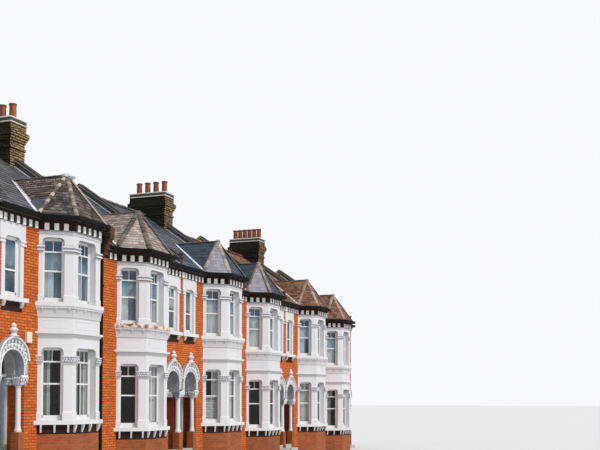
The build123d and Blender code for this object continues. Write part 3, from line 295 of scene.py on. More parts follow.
class Paint(Nodes):
    """A node material with helpers for the patterns used here."""

    def __init__(self, name, rough, metallic=0.0, shine=0.5):
        self.material = bpy.data.materials.new(name)
        self.material.use_nodes = True
        super().__init__(self.material.node_tree)
        self.shader = self.tree.nodes["Principled BSDF"]
        self.set({"Roughness": rough, "Metallic": metallic, "Specular IOR Level": shine})

    def set(self, inputs):
        for name, value in inputs.items():
            self.feed(self.shader.inputs[name], value)

    def finish(self, color, relief, strength, distance):
        """The surface's colour, and its relief as bump."""
        bump = self.node("Bump", {"Height": relief, "Strength": strength, "Distance": distance})
        self.set({"Base Color": color, "Normal": bump})
        return self.material

    def place(self):
        """Position in the row frame, in metres."""
        return self.node("NewGeometry", output="Position")

    def split(self, vector):
        return self.node("SeparateXYZ", {0: vector}).node.outputs

    def wall_place(self):
        """Distance along an upright wall and height, whatever way the wall faces."""
        normal, place = self.node("NewGeometry", output="True Normal"), self.place()
        level = self.node("VectorMath", {0: normal, 1: (0, 0, 1)}, operation="CROSS_PRODUCT")
        along = self.node("VectorMath", {0: level, 1: place}, "Value", operation="DOT_PRODUCT")
        return self.node("CombineXYZ", {0: along, 1: self.split(place)["Z"]})

    def noise(self, scale, detail, stretch=(1, 1, 1), rough=0.55):
        spot = self.node("Mapping", {"Vector": self.place(), "Scale": stretch})
        values = {"Vector": spot, "Scale": scale, "Detail": detail, "Roughness": rough}
        return self.node("TexNoise", values, "Fac")

    def ramp(self, value, stops):
        color = self.node("ValToRGB", {"Fac": value})
        elements = color.node.color_ramp.elements
        while len(elements) < len(stops):
            elements.new(0.5)
        for element, (position, shade) in zip(elements, stops):
            element.position, element.color = position, (*shade, 1)
        return color

    def mask(self, value, low, high):
        return self.ramp(value, [(low, (0, 0, 0)), (high, (1, 1, 1))])

    def mix(self, factor, first, second, blend="MIX"):
        values = {0: factor, 6: first, 7: second}
        return self.node("Mix", values, 2, data_type="RGBA", blend_type=blend)

    def shade(self):
        return self.node("Attribute", output="Fac", attribute_name="shade")

    def times(self, value, factor):
        return self.math("MULTIPLY", value, factor)

    def spread(self, value, low, high, start=0.0, end=1.0):
        """A value between two limits, spread over another range."""
        values = {"Value": value, "From Min": low, "From Max": high, "To Min": start, "To Max": end}
        return self.node("MapRange", values)

    def local_height(self):
        """Height above a house's own ground, which steps down along the row in pairs of houses."""
        pair = 2 * WIDTH
        x, _, z = self.split(self.place())
        steps = self.math("FLOOR", self.math("DIVIDE", self.math("ADD", x, 2 * pair), pair))
        return self.math("ADD", z, self.math("MULTIPLY_ADD", steps, STEP, -STEPS_DOWN * STEP))

    def band(self, value, low, high, soft=0.05):
        """1 where a value lies between two limits, with soft edges."""
        up = self.spread(value, low - soft, low + soft)
        return self.times(up, self.spread(value, high + soft, high - soft))

    def facing(self, direction, share):
        """A share of 1 where the surface faces fully along a direction, and 0 where it doesn't."""
        axis, low, high = direction
        normal = self.node("NewGeometry", output="True Normal")
        return self.times(self.spread(self.split(normal)[axis], low, high), share)

    def weathered_and_shaded(self, clean, dirt_and_shade, scale, amount, underside_shade, bands=(), rough=0.62):
        """Rain streaks, darker bands by height that are painted shade with grime, and painted shade on
        undersides.
        """
        streaks = self.mask(self.noise(scale, 6, (1, 1, 0.18), rough), 0.48, 0.82)
        factor = self.times(streaks, amount)
        for low, high, depth in bands:
            extra = self.times(self.band(self.local_height(), low, high, 0.04), depth)
            factor = self.math("MAXIMUM", factor, extra)
        return self.mix(self.facing(UNDERSIDES, underside_shade), self.mix(factor, clean, dirt_and_shade), dirt_and_shade)


def brick_paint(name, first, second, mortar, grime, grime_amount=0.25, joint=0.008, soot_and_shade_color=None, tint=None):
    """Stretcher courses with grime; a sooty colour, which is soot and painted shade, goes on the sides that
    face left.

    A tint, with the row's axis and the limits it lies between, colours a part of the wall: real colour on
    the rear brick, and a painted pool of light in a porch recess.
    """
    paint = Paint(name, 0.85, shine=0.2)
    brick = paint.node("TexBrick", {
        "Vector": paint.wall_place(), "Color1": first, "Color2": second, "Mortar": mortar, "Scale": 1.0,
        "Brick Width": BRICK, "Row Height": COURSE, "Mortar Size": joint, "Mortar Smooth": 0.2,
    })
    fine = paint.ramp(paint.noise(9, 5), [(0.3, (0.72, 0.72, 0.72)), (0.7, (1.15, 1.12, 1.1))])
    body = paint.mix(0.7, brick, fine, "MULTIPLY")
    patches = paint.mask(paint.noise(0.55, 3), 0.42, 0.72)
    body = paint.mix(paint.times(patches, grime_amount), body, grime)
    if soot_and_shade_color:
        body = paint.mix(paint.facing(LEFT_SIDES, 0.93), body, soot_and_shade_color)
    if tint:
        axis, low, high, color = tint
        here = paint.band(paint.split(paint.place())[axis], low, high)
        body = paint.mix(here, body, paint.mix(1.0, body, color, "MULTIPLY"))
    relief = paint.math("SUBTRACT", paint.noise(60, 3), brick.node.outputs["Fac"])
    return paint.finish(body, relief, 0.5, 0.006)


def stone_paint(name, clean, dirt_and_shade, amount, rough=0.55, scale=1.3, bump=0.15, bands=(), underside_shade=0.55,
                side=None):
    """Painted or bare stone with painted shade on its undersides; a side colour, painted shade, goes on the
    faces that look straight along the row.
    """
    paint = Paint(name, rough)
    body = paint.weathered_and_shaded(clean, dirt_and_shade, scale, amount, underside_shade, bands)
    if side:
        body = paint.mix(paint.facing(ROW_ENDS, 0.9), body, side)
    paint.set({"Roughness": paint.spread(paint.noise(7, 3), 0.0, 1.0, rough - 0.1, rough + 0.15)})
    return paint.finish(body, paint.noise(45, 4), bump, 0.004)


def stained_paint(name, clean, dirt_and_shade):
    """White sills, with flaking cream and brown stains on the second house's upper one."""
    paint = Paint(name, 0.6)
    body = paint.weathered_and_shaded(clean, dirt_and_shade, 1.3, 0.35, 0.5, rough=0.55)
    second_house, upper_sill = (-9.3, -6.2, 0.1), (4.1, 4.5)
    x = paint.split(paint.place())[0]
    here = paint.times(paint.band(x, *second_house), paint.band(paint.local_height(), *upper_sill))
    flaking = [(0.34, (0.07, 0.045, 0.03)), (0.43, (0.36, 0.21, 0.13)), (0.50, (0.74, 0.56, 0.44)),
               (0.58, (0.80, 0.72, 0.66)), (0.70, (0.86, 0.82, 0.80))]
    body = paint.mix(here, body, paint.ramp(paint.noise(6.0, 6, rough=0.7), flaking))
    return paint.finish(body, paint.noise(30, 5), 0.35, 0.008)


def roof_paint(name, colors, lichen=(0.5, 0.5, 0.42), lichen_amount=0.3, rough=0.7, places=(0.0, 0.5, 1.0)):
    """Slates or tiles: each has its own shade, with mottling and lichen over it."""
    paint = Paint(name, rough, shine=0.3)
    base = paint.ramp(paint.shade(), list(zip(places, colors)))
    mottle = paint.ramp(paint.noise(24, 5), [(0.3, (0.7, 0.7, 0.72)), (0.72, (1.2, 1.18, 1.15))])
    body = paint.mix(0.8, base, mottle, "MULTIPLY")
    spots = paint.times(paint.mask(paint.noise(5.5, 8, rough=0.7), 0.56, 0.68), lichen_amount)
    return paint.finish(paint.mix(spots, body, lichen), paint.noise(70, 4, (1, 1, 0.4)), 0.25, 0.004)


def plain_paint(name, color, rough, spread, scale, metallic=0.0, shine=0.5):
    paint = Paint(name, rough, metallic, shine)
    dark, light = [tuple(min(1, part * (1 + change)) for part in color) for change in (-spread, spread)]
    body = paint.ramp(paint.noise(scale, 4), [(0.3, dark), (0.7, light)])
    return paint.finish(body, paint.noise(scale * 3, 3), 0.05, 0.002)


def pot_paint(name):
    """Orange clay with soot round the rim and painted shade on the left sides."""
    paint = Paint(name, 0.75)
    body = paint.ramp(paint.noise(9, 4), [(0.3, (0.42, 0.085, 0.022)), (0.7, (0.62, 0.15, 0.04))])
    rim = paint.band(paint.local_height(), POT_TOP - 0.05, POT_TOP + 0.3, 0.03)
    rim_soot_and_side_shade = paint.math("MAXIMUM", rim, paint.facing(POT_SIDES, 0.75))
    return paint.finish(paint.mix(rim_soot_and_side_shade, body, (0.06, 0.03, 0.02)), paint.noise(30, 4), 0.3, 0.004)


def glass_paint(name):
    """Near-black glass downstairs, painted shade of the dark rooms, and upstairs a painted reflection of a
    pale sky, stronger on the top sashes.
    """
    first_floor, top_light_foot, wall_top = 3.8, 5.55, 7.0
    paint = Paint(name, 0.03)
    height = paint.local_height()
    ripple = paint.noise(1.6, 3, (1, 1, 0.5), 0.6)
    # Near-black painted shade for the rooms downstairs, then painted reflections of clouds and deep sky
    # upstairs
    low = paint.ramp(ripple, [(0.35, (0.008, 0.012, 0.010)), (0.75, (0.035, 0.05, 0.045))])
    painted_cloud_reflection = paint.ramp(ripple, [(0.36, (0.05, 0.15, 0.24)), (0.50, (0.20, 0.33, 0.40)),
                                 (0.66, (0.52, 0.58, 0.58))])
    painted_deep_sky_reflection = paint.ramp(ripple, [(0.40, (0.02, 0.075, 0.15)), (0.70, (0.07, 0.20, 0.32))])
    high = paint.mix(paint.band(height, top_light_foot, wall_top, 0.12), painted_cloud_reflection, painted_deep_sky_reflection)
    upstairs = paint.band(height, first_floor, wall_top)
    top_sash = paint.band(height, TOP_SASH_FOOT, wall_top, 0.03)
    cover = paint.math("ADD", paint.math("MULTIPLY_ADD", upstairs, 0.04, 0.18), paint.times(top_sash, 0.30))
    paint.set({"IOR": 1.52, "Coat Weight": 0.5, "Coat Roughness": 0.02, "Alpha": cover})
    return paint.finish(paint.mix(upstairs, low, high), paint.noise(1.7, 2), 0.06, 0.02)


def curtain_paint(name, first, second):
    """Woven cloth in soft stripes."""
    paint = Paint(name, 0.9)
    stripes = paint.math("SINE", paint.times(paint.split(paint.place())[0], 34.0))
    body = paint.mix(paint.math("MULTIPLY_ADD", stripes, 0.45, 0.5), first, second)
    weave = paint.node("TexWave", {"Vector": paint.place(), "Scale": 120.0}, "Fac", wave_type="BANDS")
    return paint.finish(body, weave, 0.1, 0.001)


# Bricks: two brick colours, mortar and grime
orange = brick_paint(
    "orange_brick", (0.82, 0.195, 0.030), (0.60, 0.118, 0.020), (0.21, 0.065, 0.026), (0.30, 0.075, 0.02),
    joint=0.011
)
# Darker brick of the bay bases and porch pedestals, darkened further as painted shade
base_brick = brick_paint(
    "base_brick", (0.46, 0.12, 0.035), (0.33, 0.08, 0.025), (0.28, 0.15, 0.08), (0.12, 0.05, 0.03), 0.5
)
# Dark brick of the porch recesses, painted shade, with a painted pool of light on the first house's recess
# wall
shaded_recess_brick = brick_paint(
    "shaded_recess_brick", (0.30, 0.055, 0.018), (0.20, 0.035, 0.013), (0.12, 0.04, 0.02), (0.07, 0.02, 0.012), 0.4,
    tint=(0, -14.0, -12.9, (2.2, 2.4, 1.2))
)
# Stock brick of the chimneys; the near-black colour on their left sides is soot and painted shade
stock = brick_paint(
    "stock_brick", (0.60, 0.41, 0.19), (0.33, 0.21, 0.09), (0.03, 0.024, 0.016), (0.06, 0.04, 0.025), 0.7,
    0.018, (0.006, 0.007, 0.004)
)
rear_brick = brick_paint(
    "rear_brick", (0.50, 0.39, 0.21), (0.42, 0.30, 0.15), (0.44, 0.39, 0.31), (0.17, 0.13, 0.08), 0.45,
    tint=(1, -3.6, -3.0, (0.55, 0.13, 0.08))
)
# Near-black brick, painted shade: the eaves courses, and the bands behind the dentils and under the sills
painted_shade_brick = brick_paint(
    "painted_shade_brick", (0.055, 0.022, 0.016), (0.03, 0.014, 0.011), (0.02, 0.013, 0.011), (0.012, 0.009, 0.008),
    0.6
)
sooty_brick = brick_paint(
    "sooty_brick", (0.22, 0.08, 0.04), (0.12, 0.045, 0.025), (0.06, 0.04, 0.03), (0.03, 0.02, 0.015), 0.7
)

# Stone, plaster, mortar and lead: the clean colour, and a dark colour for dirt and for painted shade on
# undersides
WHITE, GREY = (0.74, 0.73, 0.75), (0.40, 0.39, 0.40)
# Bands under the upper sill and under the string course that get painted shade with grime: foot, top and
# strength
SHADE_AND_GRIME_BANDS = [(3.9, 4.16, 0.45), (3.36, 3.44, 0.35)]
white = stone_paint("white_stone", WHITE, GREY, 0.28, underside_shade=0.75, bands=SHADE_AND_GRIME_BANDS)
# Window heads, with strong painted shade on their undersides
heads = stone_paint("head_stone", WHITE, (0.34, 0.33, 0.33), 0.25, underside_shade=0.9)
sills = stained_paint("sill_stone", (0.76, 0.75, 0.76), GREY)
# Dentils whose sides along the row are near black, painted shade
dentil_stone = stone_paint(
    "dentil_stone", (0.86, 0.84, 0.80), (0.36, 0.35, 0.34), 0.35, 0.7, 4.0, side=(0.035, 0.022, 0.018)
)
# Grey of the carvings' ground and of the grey bands: painted shade in hollows and creases
carving_shade = stone_paint("carved_stone", (0.36, 0.38, 0.42), (0.15, 0.16, 0.18), 0.8, 0.8, 7.0, 0.5)
leaf_stone = stone_paint("leaf_stone", (0.84, 0.83, 0.83), (0.40, 0.40, 0.42), 0.35, 0.6, 9.0, 0.3)
coping = stone_paint("coping_stone", (0.045, 0.042, 0.034), (0.018, 0.017, 0.015), 0.9, 0.85, 2.0, 0.4)
edge_stone = stone_paint(
    "pale_edging", (0.66, 0.56, 0.30), (0.34, 0.28, 0.15), 0.6, 0.85, 4.0, 0.3, underside_shade=0.0
)
step = stone_paint("step_stone", (0.50, 0.47, 0.42), (0.28, 0.26, 0.23), 0.6, 0.8)
plaster = stone_paint("porch_plaster", (0.50, 0.50, 0.51), (0.32, 0.32, 0.33), 0.5, 0.8)
mortar = stone_paint("cap_mortar", (0.78, 0.73, 0.68), (0.46, 0.42, 0.37), 0.5, 0.9)
cap_dark = stone_paint("cap_dark", (0.075, 0.07, 0.055), (0.03, 0.028, 0.02), 0.7, 0.9)
lead = stone_paint("valley_lead", (0.80, 0.82, 0.86), (0.55, 0.56, 0.58), 0.4, 0.5)
parapet_shade_lead = stone_paint("parapet_lead_and_shade", (0.05, 0.058, 0.075), (0.02, 0.022, 0.03), 0.5, 0.6, 3.0)

joinery = plain_paint("white_joinery", (0.80, 0.80, 0.79), 0.35, 0.04, 12)
iron = plain_paint("gutter_iron", (0.006, 0.008, 0.0065), 0.8, 0.3, 14, shine=0.12)
boards = plain_paint("floor_boards", (0.33, 0.22, 0.13), 0.6, 0.2, 6)
brass = plain_paint("hinge_brass", (0.52, 0.40, 0.16), 0.35, 0.1, 40, 1.0)
cream = plain_paint("cream_box", (0.80, 0.74, 0.58), 0.5, 0.05, 20)
clay = pot_paint("pot_clay")
glass = glass_paint("window_glass_clear")
net = curtain_paint("net_curtain", (0.95, 0.95, 0.93), (0.76, 0.79, 0.77))
drape = curtain_paint("green_grey_curtain", (0.95, 0.97, 0.88), (0.24, 0.30, 0.27))

# Roofs: the darkest, middle and palest shade, then the lichen
brown_roof = roof_paint(
    "brown_tiles", [(0.030, 0.024, 0.020), (0.085, 0.066, 0.056), (0.19, 0.155, 0.135)],
    (0.34, 0.30, 0.25), 0.35
)
buff_roof = roof_paint(
    "buff_tiles", [(0.20, 0.16, 0.135), (0.36, 0.29, 0.25), (0.52, 0.43, 0.38)], (0.60, 0.52, 0.44)
)
lit_buff_roof = roof_paint(
    "lit_buff_tiles", [(0.30, 0.24, 0.22), (0.46, 0.37, 0.34), (0.58, 0.49, 0.45)], (0.66, 0.58, 0.52)
)
navy_roof = roof_paint(
    "navy_slates", [(0.008, 0.018, 0.034), (0.018, 0.034, 0.058), (0.034, 0.055, 0.085)],
    (0.08, 0.10, 0.12), 0.2, 0.5
)
lit_lilac_roof = roof_paint(
    "lit_lilac_slates", [(0.22, 0.22, 0.255), (0.30, 0.30, 0.345), (0.37, 0.37, 0.42)],
    (0.42, 0.41, 0.44), 0.2, 0.5
)
red_roof = roof_paint(
    "red_tiles", [(0.09, 0.04, 0.025), (0.19, 0.085, 0.05), (0.32, 0.17, 0.10)], (0.36, 0.30, 0.20)
)
purple_roof = roof_paint(
    "purple_slates", [(0.045, 0.043, 0.052), (0.085, 0.082, 0.095), (0.15, 0.14, 0.15)],
    (0.24, 0.23, 0.21), 0.25
)
blue_roof = roof_paint(
    "blue_slates", [(0.03, 0.04, 0.055), (0.055, 0.068, 0.09), (0.09, 0.105, 0.13)],
    (0.14, 0.15, 0.16), 0.25, 0.55
)
speckled_hips = roof_paint(
    "speckled_hips", [(0.05, 0.042, 0.036), (0.16, 0.13, 0.115), (0.42, 0.34, 0.28), (0.66, 0.55, 0.46)],
    places=(0.0, 0.45, 0.6, 1.0)
)
grey_hips = roof_paint("grey_hips", [(0.07, 0.06, 0.052), (0.125, 0.105, 0.092), (0.20, 0.17, 0.15)])
cream_hips = roof_paint("cream_hips", [(0.44, 0.35, 0.30), (0.54, 0.45, 0.39), (0.64, 0.55, 0.48)])
pink_hips = roof_paint("pink_hips", [(0.26, 0.15, 0.11), (0.40, 0.26, 0.20), (0.52, 0.38, 0.31)])
dull_hips = roof_paint("dull_cream_hips", [(0.20, 0.16, 0.135), (0.33, 0.27, 0.235), (0.50, 0.42, 0.37)])
ROOFS = [purple_roof, blue_roof, blue_roof, red_roof, red_roof, red_roof]
BAY_ROOFS = [brown_roof, buff_roof, navy_roof, navy_roof, red_roof, red_roof]
# Left cants as seen; the paler buff tiles and the lilac slates are lit copies of the other cants' coverings:
# painted light
STREET_CANTS = [brown_roof, lit_buff_roof, lit_lilac_roof, lit_lilac_roof, red_roof, red_roof]
HIPS = [speckled_hips, grey_hips, dull_hips, dull_hips, pink_hips, pink_hips]
DOOR_COLORS = [
    (0.17, 0.215, 0.255), (0.12, 0.02, 0.02), (0.012, 0.015, 0.018),
    (0.03, 0.05, 0.035), (0.10, 0.012, 0.02), (0.02, 0.035, 0.08),
]
door_paints = [
    plain_paint("door_paint_" + letter, color, 0.3, 0.08, 20) for letter, color in zip(LETTERS, DOOR_COLORS)
]

DRESSING = [
    (orange, "front_piers walls_over_porch"),
    (shaded_recess_brick, "porch_recess_walls"),
    (rear_brick, "party_walls rear_walls"),
    (sooty_brick, "kneelers"),
    (base_brick, "bay_bases porch_pedestals"),
    (stock, "chimney_stacks"),
    (painted_shade_brick, "eaves_courses"),
    (white, "lower_bay_piers upper_bay_piers bay_capitals string_courses bay_spandrels spandrel_coves"),
    (white, "porch_columns porch_finials porch_window_sills rear_window_sills"),
    (heads, "lower_bay_heads upper_bay_heads porch_window_surrounds"),
    (sills, "bay_sills"),
    (dentil_stone, "dentils"),
    (carving_shade, "porch_arches porch_friezes porch_capitals"),
    (plaster, "porch_vaults"),
    (coping, "party_wall_copings"),
    (cap_dark, "chimney_caps"),
    (clay, "chimney_pots"),
    (step, "porch_steps"),
    (iron, "gutters downpipe"),
    (joinery, "bay_window_frames rear_window_frames porch_window_frames door_frames"),
    (glass, "bay_window_glass rear_window_glass porch_window_glass fanlights"),
    (boards, "first_floors ground_floors"),
    (brass, "door_hinges"),
    (grey_hips, "front_roof_slopes rear_roof_slopes bay_roofs"),
] + [(paint, "front_door_" + letter) for letter, paint in zip(LETTERS, door_paints)]
for material, nodes in DRESSING:
    for name in nodes.split():
        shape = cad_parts[name]
        if not shape.material_slots:
            shape.data.materials.append(material)
        for material_slot in shape.material_slots:
            material_slot.material = material


def jitter(amount):
    """A random shift of at most an amount, either way."""
    return dice.uniform(-amount, amount)


# Roof coverings
TOP_GAP, FOOT_GAP = 0.002, 0.0005
SLATES = {"gauge": 0.20, "width": 0.26}
TILES = {"gauge": 0.115, "width": 0.17, "lift": 0.014}
SMOOTH_SLATES = {"gauge": 0.17, "width": 0.24, "lift": 0.007, "gap": 0.001}


def pairs(items):
    """Each item with the next one, and the last with the first."""
    return zip(items, items[1:] + items[:1])


def clip(polygon, point, normal):
    """Part of a flat polygon on the side of a line that the normal points away from."""
    kept = []
    for a, b in pairs(polygon):
        da, db = ((p[0] - point[0]) * normal[0] + (p[1] - point[1]) * normal[1] for p in (a, b))
        if da <= 0:
            kept.append(a)
        if da * db < 0:
            share = da / (da - db)
            kept.append((a[0] + (b[0] - a[0]) * share, a[1] + (b[1] - a[1]) * share))
    return kept


def cover(pile, matrix, corners, gauge, width, lift=0.012, round_rows=(), along=None, gap=TOP_GAP):
    """Courses of slates or tiles on a flat face; its first two corners are along the eaves.

    The rounded rows are counted in each eight, and get tiles with a curved lower edge.
    """
    corners = [Vector(corner) for corner in corners]
    origin = corners[0]
    along = Vector(along or corners[1] - corners[0]).normalized()
    normal = along.cross(corners[-1] - corners[0]).normalized()
    normal *= -1 if normal.z < 0 else 1
    up = normal.cross(along)
    up *= -1 if up.z < 0 else 1
    flat = [((c - origin).dot(along), (c - origin).dot(up)) for c in corners]
    middle = [sum(values) / len(flat) for values in zip(*flat)]
    edges = []
    for a, b in pairs(flat):
        n = (b[1] - a[1], a[0] - b[0])
        if (middle[0] - a[0]) * n[0] + (middle[1] - a[1]) * n[1] > 0:
            n = (-n[0], -n[1])
        edges.append((a, n))
    s0, s1 = min(p[0] for p in flat), max(p[0] for p in flat)
    for row in range(int(max(p[1] for p in flat) / gauge) + 1):
        t = row * gauge
        s = s0 - width * (0.5 if row % 2 else 0.0) - dice.uniform(0, 0.02)
        while s < s1:
            low, head = t - dice.uniform(0, 0.004), t + gauge
            near, far = s + gap, s + width - gap
            piece = [(near, low), (far, low), (far, head), (near, head)]
            if row % 8 in round_rows:
                tip = width * 0.35
                curve = ((0.22, 0.35), (0.5, 0), (0.78, 0.35))
                curve = [(s + width * share, low + tip * rise) for share, rise in curve]
                piece = [(near, low + tip), *curve, (far, low + tip), (far, head), (near, head)]
            for point, outward in edges:
                piece = clip(piece, point, outward)
            if len(piece) > 2:
                rise = lift * dice.uniform(0.8, 1.25)
                top, foot = [], []
                for a, b in piece:
                    share = min(1.0, max(0.0, (b - t) / gauge))
                    spot = origin + along * a + up * b
                    top.append(spot + normal * (rise * (1 - share) + TOP_GAP))
                    foot.append(spot + normal * FOOT_GAP)
                count = len(piece)
                faces = [tuple(range(count))]
                faces += [(i + count, (i + 1) % count + count, (i + 1) % count, i) for i in range(count)]
                pile.add(matrix, top + foot, faces, dice.random())
            s += width


def roof_top(y):
    return ROOF_FOOT + PITCH * min(y, DEPTH - y)


def slope(x0, x1, y0, y1):
    """Corners of a part of the main slopes, with its lower edge first."""
    return [(x, y, roof_top(y)) for x, y in ((x0, y0), (x1, y0), (x1, y1), (x0, y1))]


# Points of a bay roof in a house's frame: its front eaves, apex, ridge end, and feet of the side hips
# and of the side faces
FRONT_REACH = FRONT / 2 + OVERHANG * CORNER
FRONT_EAVES = [(MIDDLE + side * FRONT_REACH, -OUT - OVERHANG, BAY_FOOT) for side in (-1, 1)]
PEAK = (MIDDLE, 0.0, APEX)
RIDGE_END = (MIDDLE, (APEX - ROOF_FOOT) / PITCH, APEX)
HIP_FEET = [(MIDDLE + side * 1.269, -0.0494, 6.646) for side in (-1, 1)]
SIDE_FEET = [(MIDDLE + side * (BAY / 2 + OVERHANG), -0.0525, BAY_FOOT) for side in (-1, 1)]
BAY_MOUTH = (PORCH_ZONE - 0.07, PORCH_ZONE + BAY + 0.07)

for house, letter in enumerate(LETTERS):
    matrix = house_matrix(house)
    slates = Pile("main_roof_slates_" + letter)
    nose = -HALF_WALL if house in (0, HOUSES - 1) else 0.0
    left, right = HALF_WALL, WIDTH - HALF_WALL
    for corners in (
        slope(nose, BAY_MOUTH[0], -OVERHANG, 0.0), slope(BAY_MOUTH[1], right, -OVERHANG, 0.0),
        slope(left, right, 0.0, RIDGE), slope(right, left, DEPTH + OVERHANG, RIDGE),
    ):
        cover(slates, matrix, corners, **SLATES)
    slates.build(ROOFS[house], "slate")

    tiles, face = Pile("bay_roof_tiles_" + letter), Pile("bay_roof_face_" + letter)
    style = SMOOTH_SLATES if house in (2, 3) else TILES
    rounds = () if house else (2, 3, 4)
    cants = [(SIDE_FEET[0], FRONT_EAVES[0]), (FRONT_EAVES[1], SIDE_FEET[1])]
    street, other = cants[::-1] if house % 2 else cants
    for pile, edge in ((face, street), (tiles, FRONT_EAVES), (tiles, other)):
        cover(pile, matrix, [*edge, PEAK], round_rows=rounds, **style)
    for foot in HIP_FEET:
        cover(tiles, matrix, [foot, RIDGE_END, PEAK], along=(0, 1, 0), **style)
    tiles.build(BAY_ROOFS[house], "slate")
    face.build(STREET_CANTS[house], "slate")


def hip_run(pile, matrix, start, end, radius, length, shades=None, flat=0.85):
    """Overlapping half-round tiles along a hip or ridge, larger at the lower end of each."""
    start, end = Vector(start), Vector(end)
    path = end - start
    count = max(1, round(path.length / length))
    direction = path.normalized()
    side = direction.cross(Vector((0, 0, 1))).normalized()
    over = side.cross(direction).normalized()
    for number in range(count):
        points, faces = [], []
        for place, size in ((number, radius), (min(number + 1.12, count), radius * 0.82)):
            spot = start + path * (place / count)
            for reach in (size, size - 0.018):
                for angle in (pi * part / 8 for part in range(9)):
                    points.append(spot + side * (cos(angle) * reach) + over * (sin(angle) * reach * flat))
        for part in range(8):
            for face in ((0, 18, 19, 1), (0, 1, 10, 9), (18, 27, 28, 19)):
                faces.append(tuple(part + corner for corner in face))
        pile.add(matrix, points, faces, shades[number % len(shades)] if shades else dice.random())


# Each house's hip radius and flatness, and the shades along the first house's four hips
HIP_SIZES = [(0.068, 0.9), (0.095, 0.8), (0.085, 0.4), (0.085, 0.4), (0.075, 0.6), (0.075, 0.6)]
HIP_SHADES = [(0.85, 0.3, 0.4, 0.7, 0.2), (0.50, 0.56, 0.46, 0.6), (0.6, 0.68, 0.64), (0.4, 0.5)]
BALL = {"segments": 8, "rings": 5}
SHADOW_LINE_SHIFT = Vector((0.1, 0, -0.01))
ridge_z = roof_top(RIDGE) - 0.02
ridge_ends = (HALF_WALL, RIDGE, ridge_z), (WIDTH - STACK_WIDTH / 2 - 0.04, RIDGE, ridge_z)
for house, letter in enumerate(LETTERS):
    matrix = house_matrix(house)
    hips, joints_and_shadow_lines = Pile("hip_tiles_" + letter), Pile("hip_joints_and_shadow_lines_" + letter)
    length, rows = (0.2, [None] * 4) if house else (0.15, HIP_SHADES)
    radius, flat = HIP_SIZES[house]
    for foot, shades in zip((HIP_FEET[0], *FRONT_EAVES, HIP_FEET[1]), rows):
        hip_run(hips, matrix, foot, PEAK, radius, length, shades, flat)
        # Dark lines beside the third and fourth houses' hips: painted shadow
        if house in (2, 3):
            start, end = Vector(foot) + SHADOW_LINE_SHIFT, Vector(PEAK) + SHADOW_LINE_SHIFT * 0.4
            hip_run(joints_and_shadow_lines, matrix, start, end, 0.022, 0.8)
    if house:
        hips.ball(matrix, PEAK, (0.10, 0.10, 0.07), shade=0.6, **BALL)
    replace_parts(hips.build(HIPS[house], "clay"), "bay_hip_tiles")
    hip_run(joints_and_shadow_lines, matrix, PEAK, RIDGE_END, 0.045, 0.4)
    joints_and_shadow_lines.build(grey_hips, "clay")
    ridge = Pile("ridge_run_" + letter)
    hip_run(ridge, matrix, *ridge_ends, 0.12, 0.42)
    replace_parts(ridge.build(red_roof if house > 2 else grey_hips, "clay"), "ridge_tiles")

# Pale mortar patches near the top of the first bay roof, and a smooth slate patch at its valley
first_house = house_matrix(0)
lumps = Pile("mortar_lumps")
for drop, count in ((0.14, 15), (0.36, 17)):
    for number in range(count):
        y = 0.06 + number * 0.085 + jitter(0.02)
        if dice.random() < 0.8:
            spot = (MIDDLE - drop / SIDE_SLOPE, y, APEX - drop + 0.012)
            lumps.ball(first_house, spot, (0.028, 0.036, 0.018), 0.8, dice.random(), **BALL)
lumps.build(cream_hips, "slate")
patch = Pile("slate_patch")
spots = ((1.18, -0.02), (1.20, 0.06), (0.86, 0.57), (0.78, 0.40), (0.86, 0.12))
spots = [Vector((MIDDLE - x, y, APEX - SIDE_SLOPE * x)) for x, y in spots]
lift = Vector((-SIDE_SLOPE, 0, 1)).normalized()
patch.loft(first_house, *([spot + lift * height for spot in spots] for height in (0.024, 0.004)))
patch.build(blue_roof, "slate", closed=True)

# Lead strips in the valleys, each with an upright edge, and a lead cap on the first bay roof
LEAD = 0.016
valleys = Pile("valley_strips")
valleys.ball(first_house, (MIDDLE + 0.03, -0.05, APEX - 0.02), (0.20, 0.20, 0.10), **BALL)
for house in range(HOUSES):
    for side in (-1, 1):
        y, z = -OVERHANG, roof_top(-OVERHANG)
        foot = Vector((MIDDLE + side * (APEX - z) / SIDE_SLOPE, y, z + LEAD))
        top = Vector(RIDGE_END) + Vector((0, 0, LEAD))
        spread = Vector((side * (0.09 if house else 0.2), 0, 0))
        up = Vector((-side * 0.035, 0, 0.035))
        points = [foot + spread, foot, foot + up, top + up, top, top + spread * 0.3]
        points += [point - Vector((0, 0, LEAD)) for point in points]
        faces = [(0, 1, 4, 5), (1, 2, 3, 4), (6, 11, 10, 7), (7, 10, 9, 8), (0, 6, 7, 1), (1, 7, 8, 2)]
        valleys.add(house_matrix(house), points, faces)
valleys.build(lead, "slate")

# Parapets between the roofs: dark faces that are painted shade over lead, a pale top line, and pale flashing
panels, edges, aprons = Pile("parapet_faces"), Pile("parapet_edges"), Pile("parapet_aprons")
for line in range(HOUSES + 1):
    for side in (-1, 1):
        if (line, side) in ((0, -1), (HOUSES, 1)):
            continue
        drop = STEP if side > 0 and line % 2 else 0.0
        for pile, reach, low, high in (
            (panels, 0.006, 0.02 - drop, 0.236), (edges, 0.030, 0.205, 0.238),
            (aprons, 0.03, 0.014 - drop, 0.04 - drop),
        ):
            for start, end in ((0.0, RIDGE), (RIDGE, DEPTH)):
                outline = ((start, low), (end, low), (end, high), (start, high))
                outline = [(y, roof_top(y) + rise) for y, rise in outline]
                pile.prism(line_matrix(line), outline, side * HALF_WALL, side * (HALF_WALL + reach))
panels.build(parapet_shade_lead, "slate", closed=True)
edges.build(edge_stone, "slate", closed=True)
aprons.build(lead, "slate", closed=True)

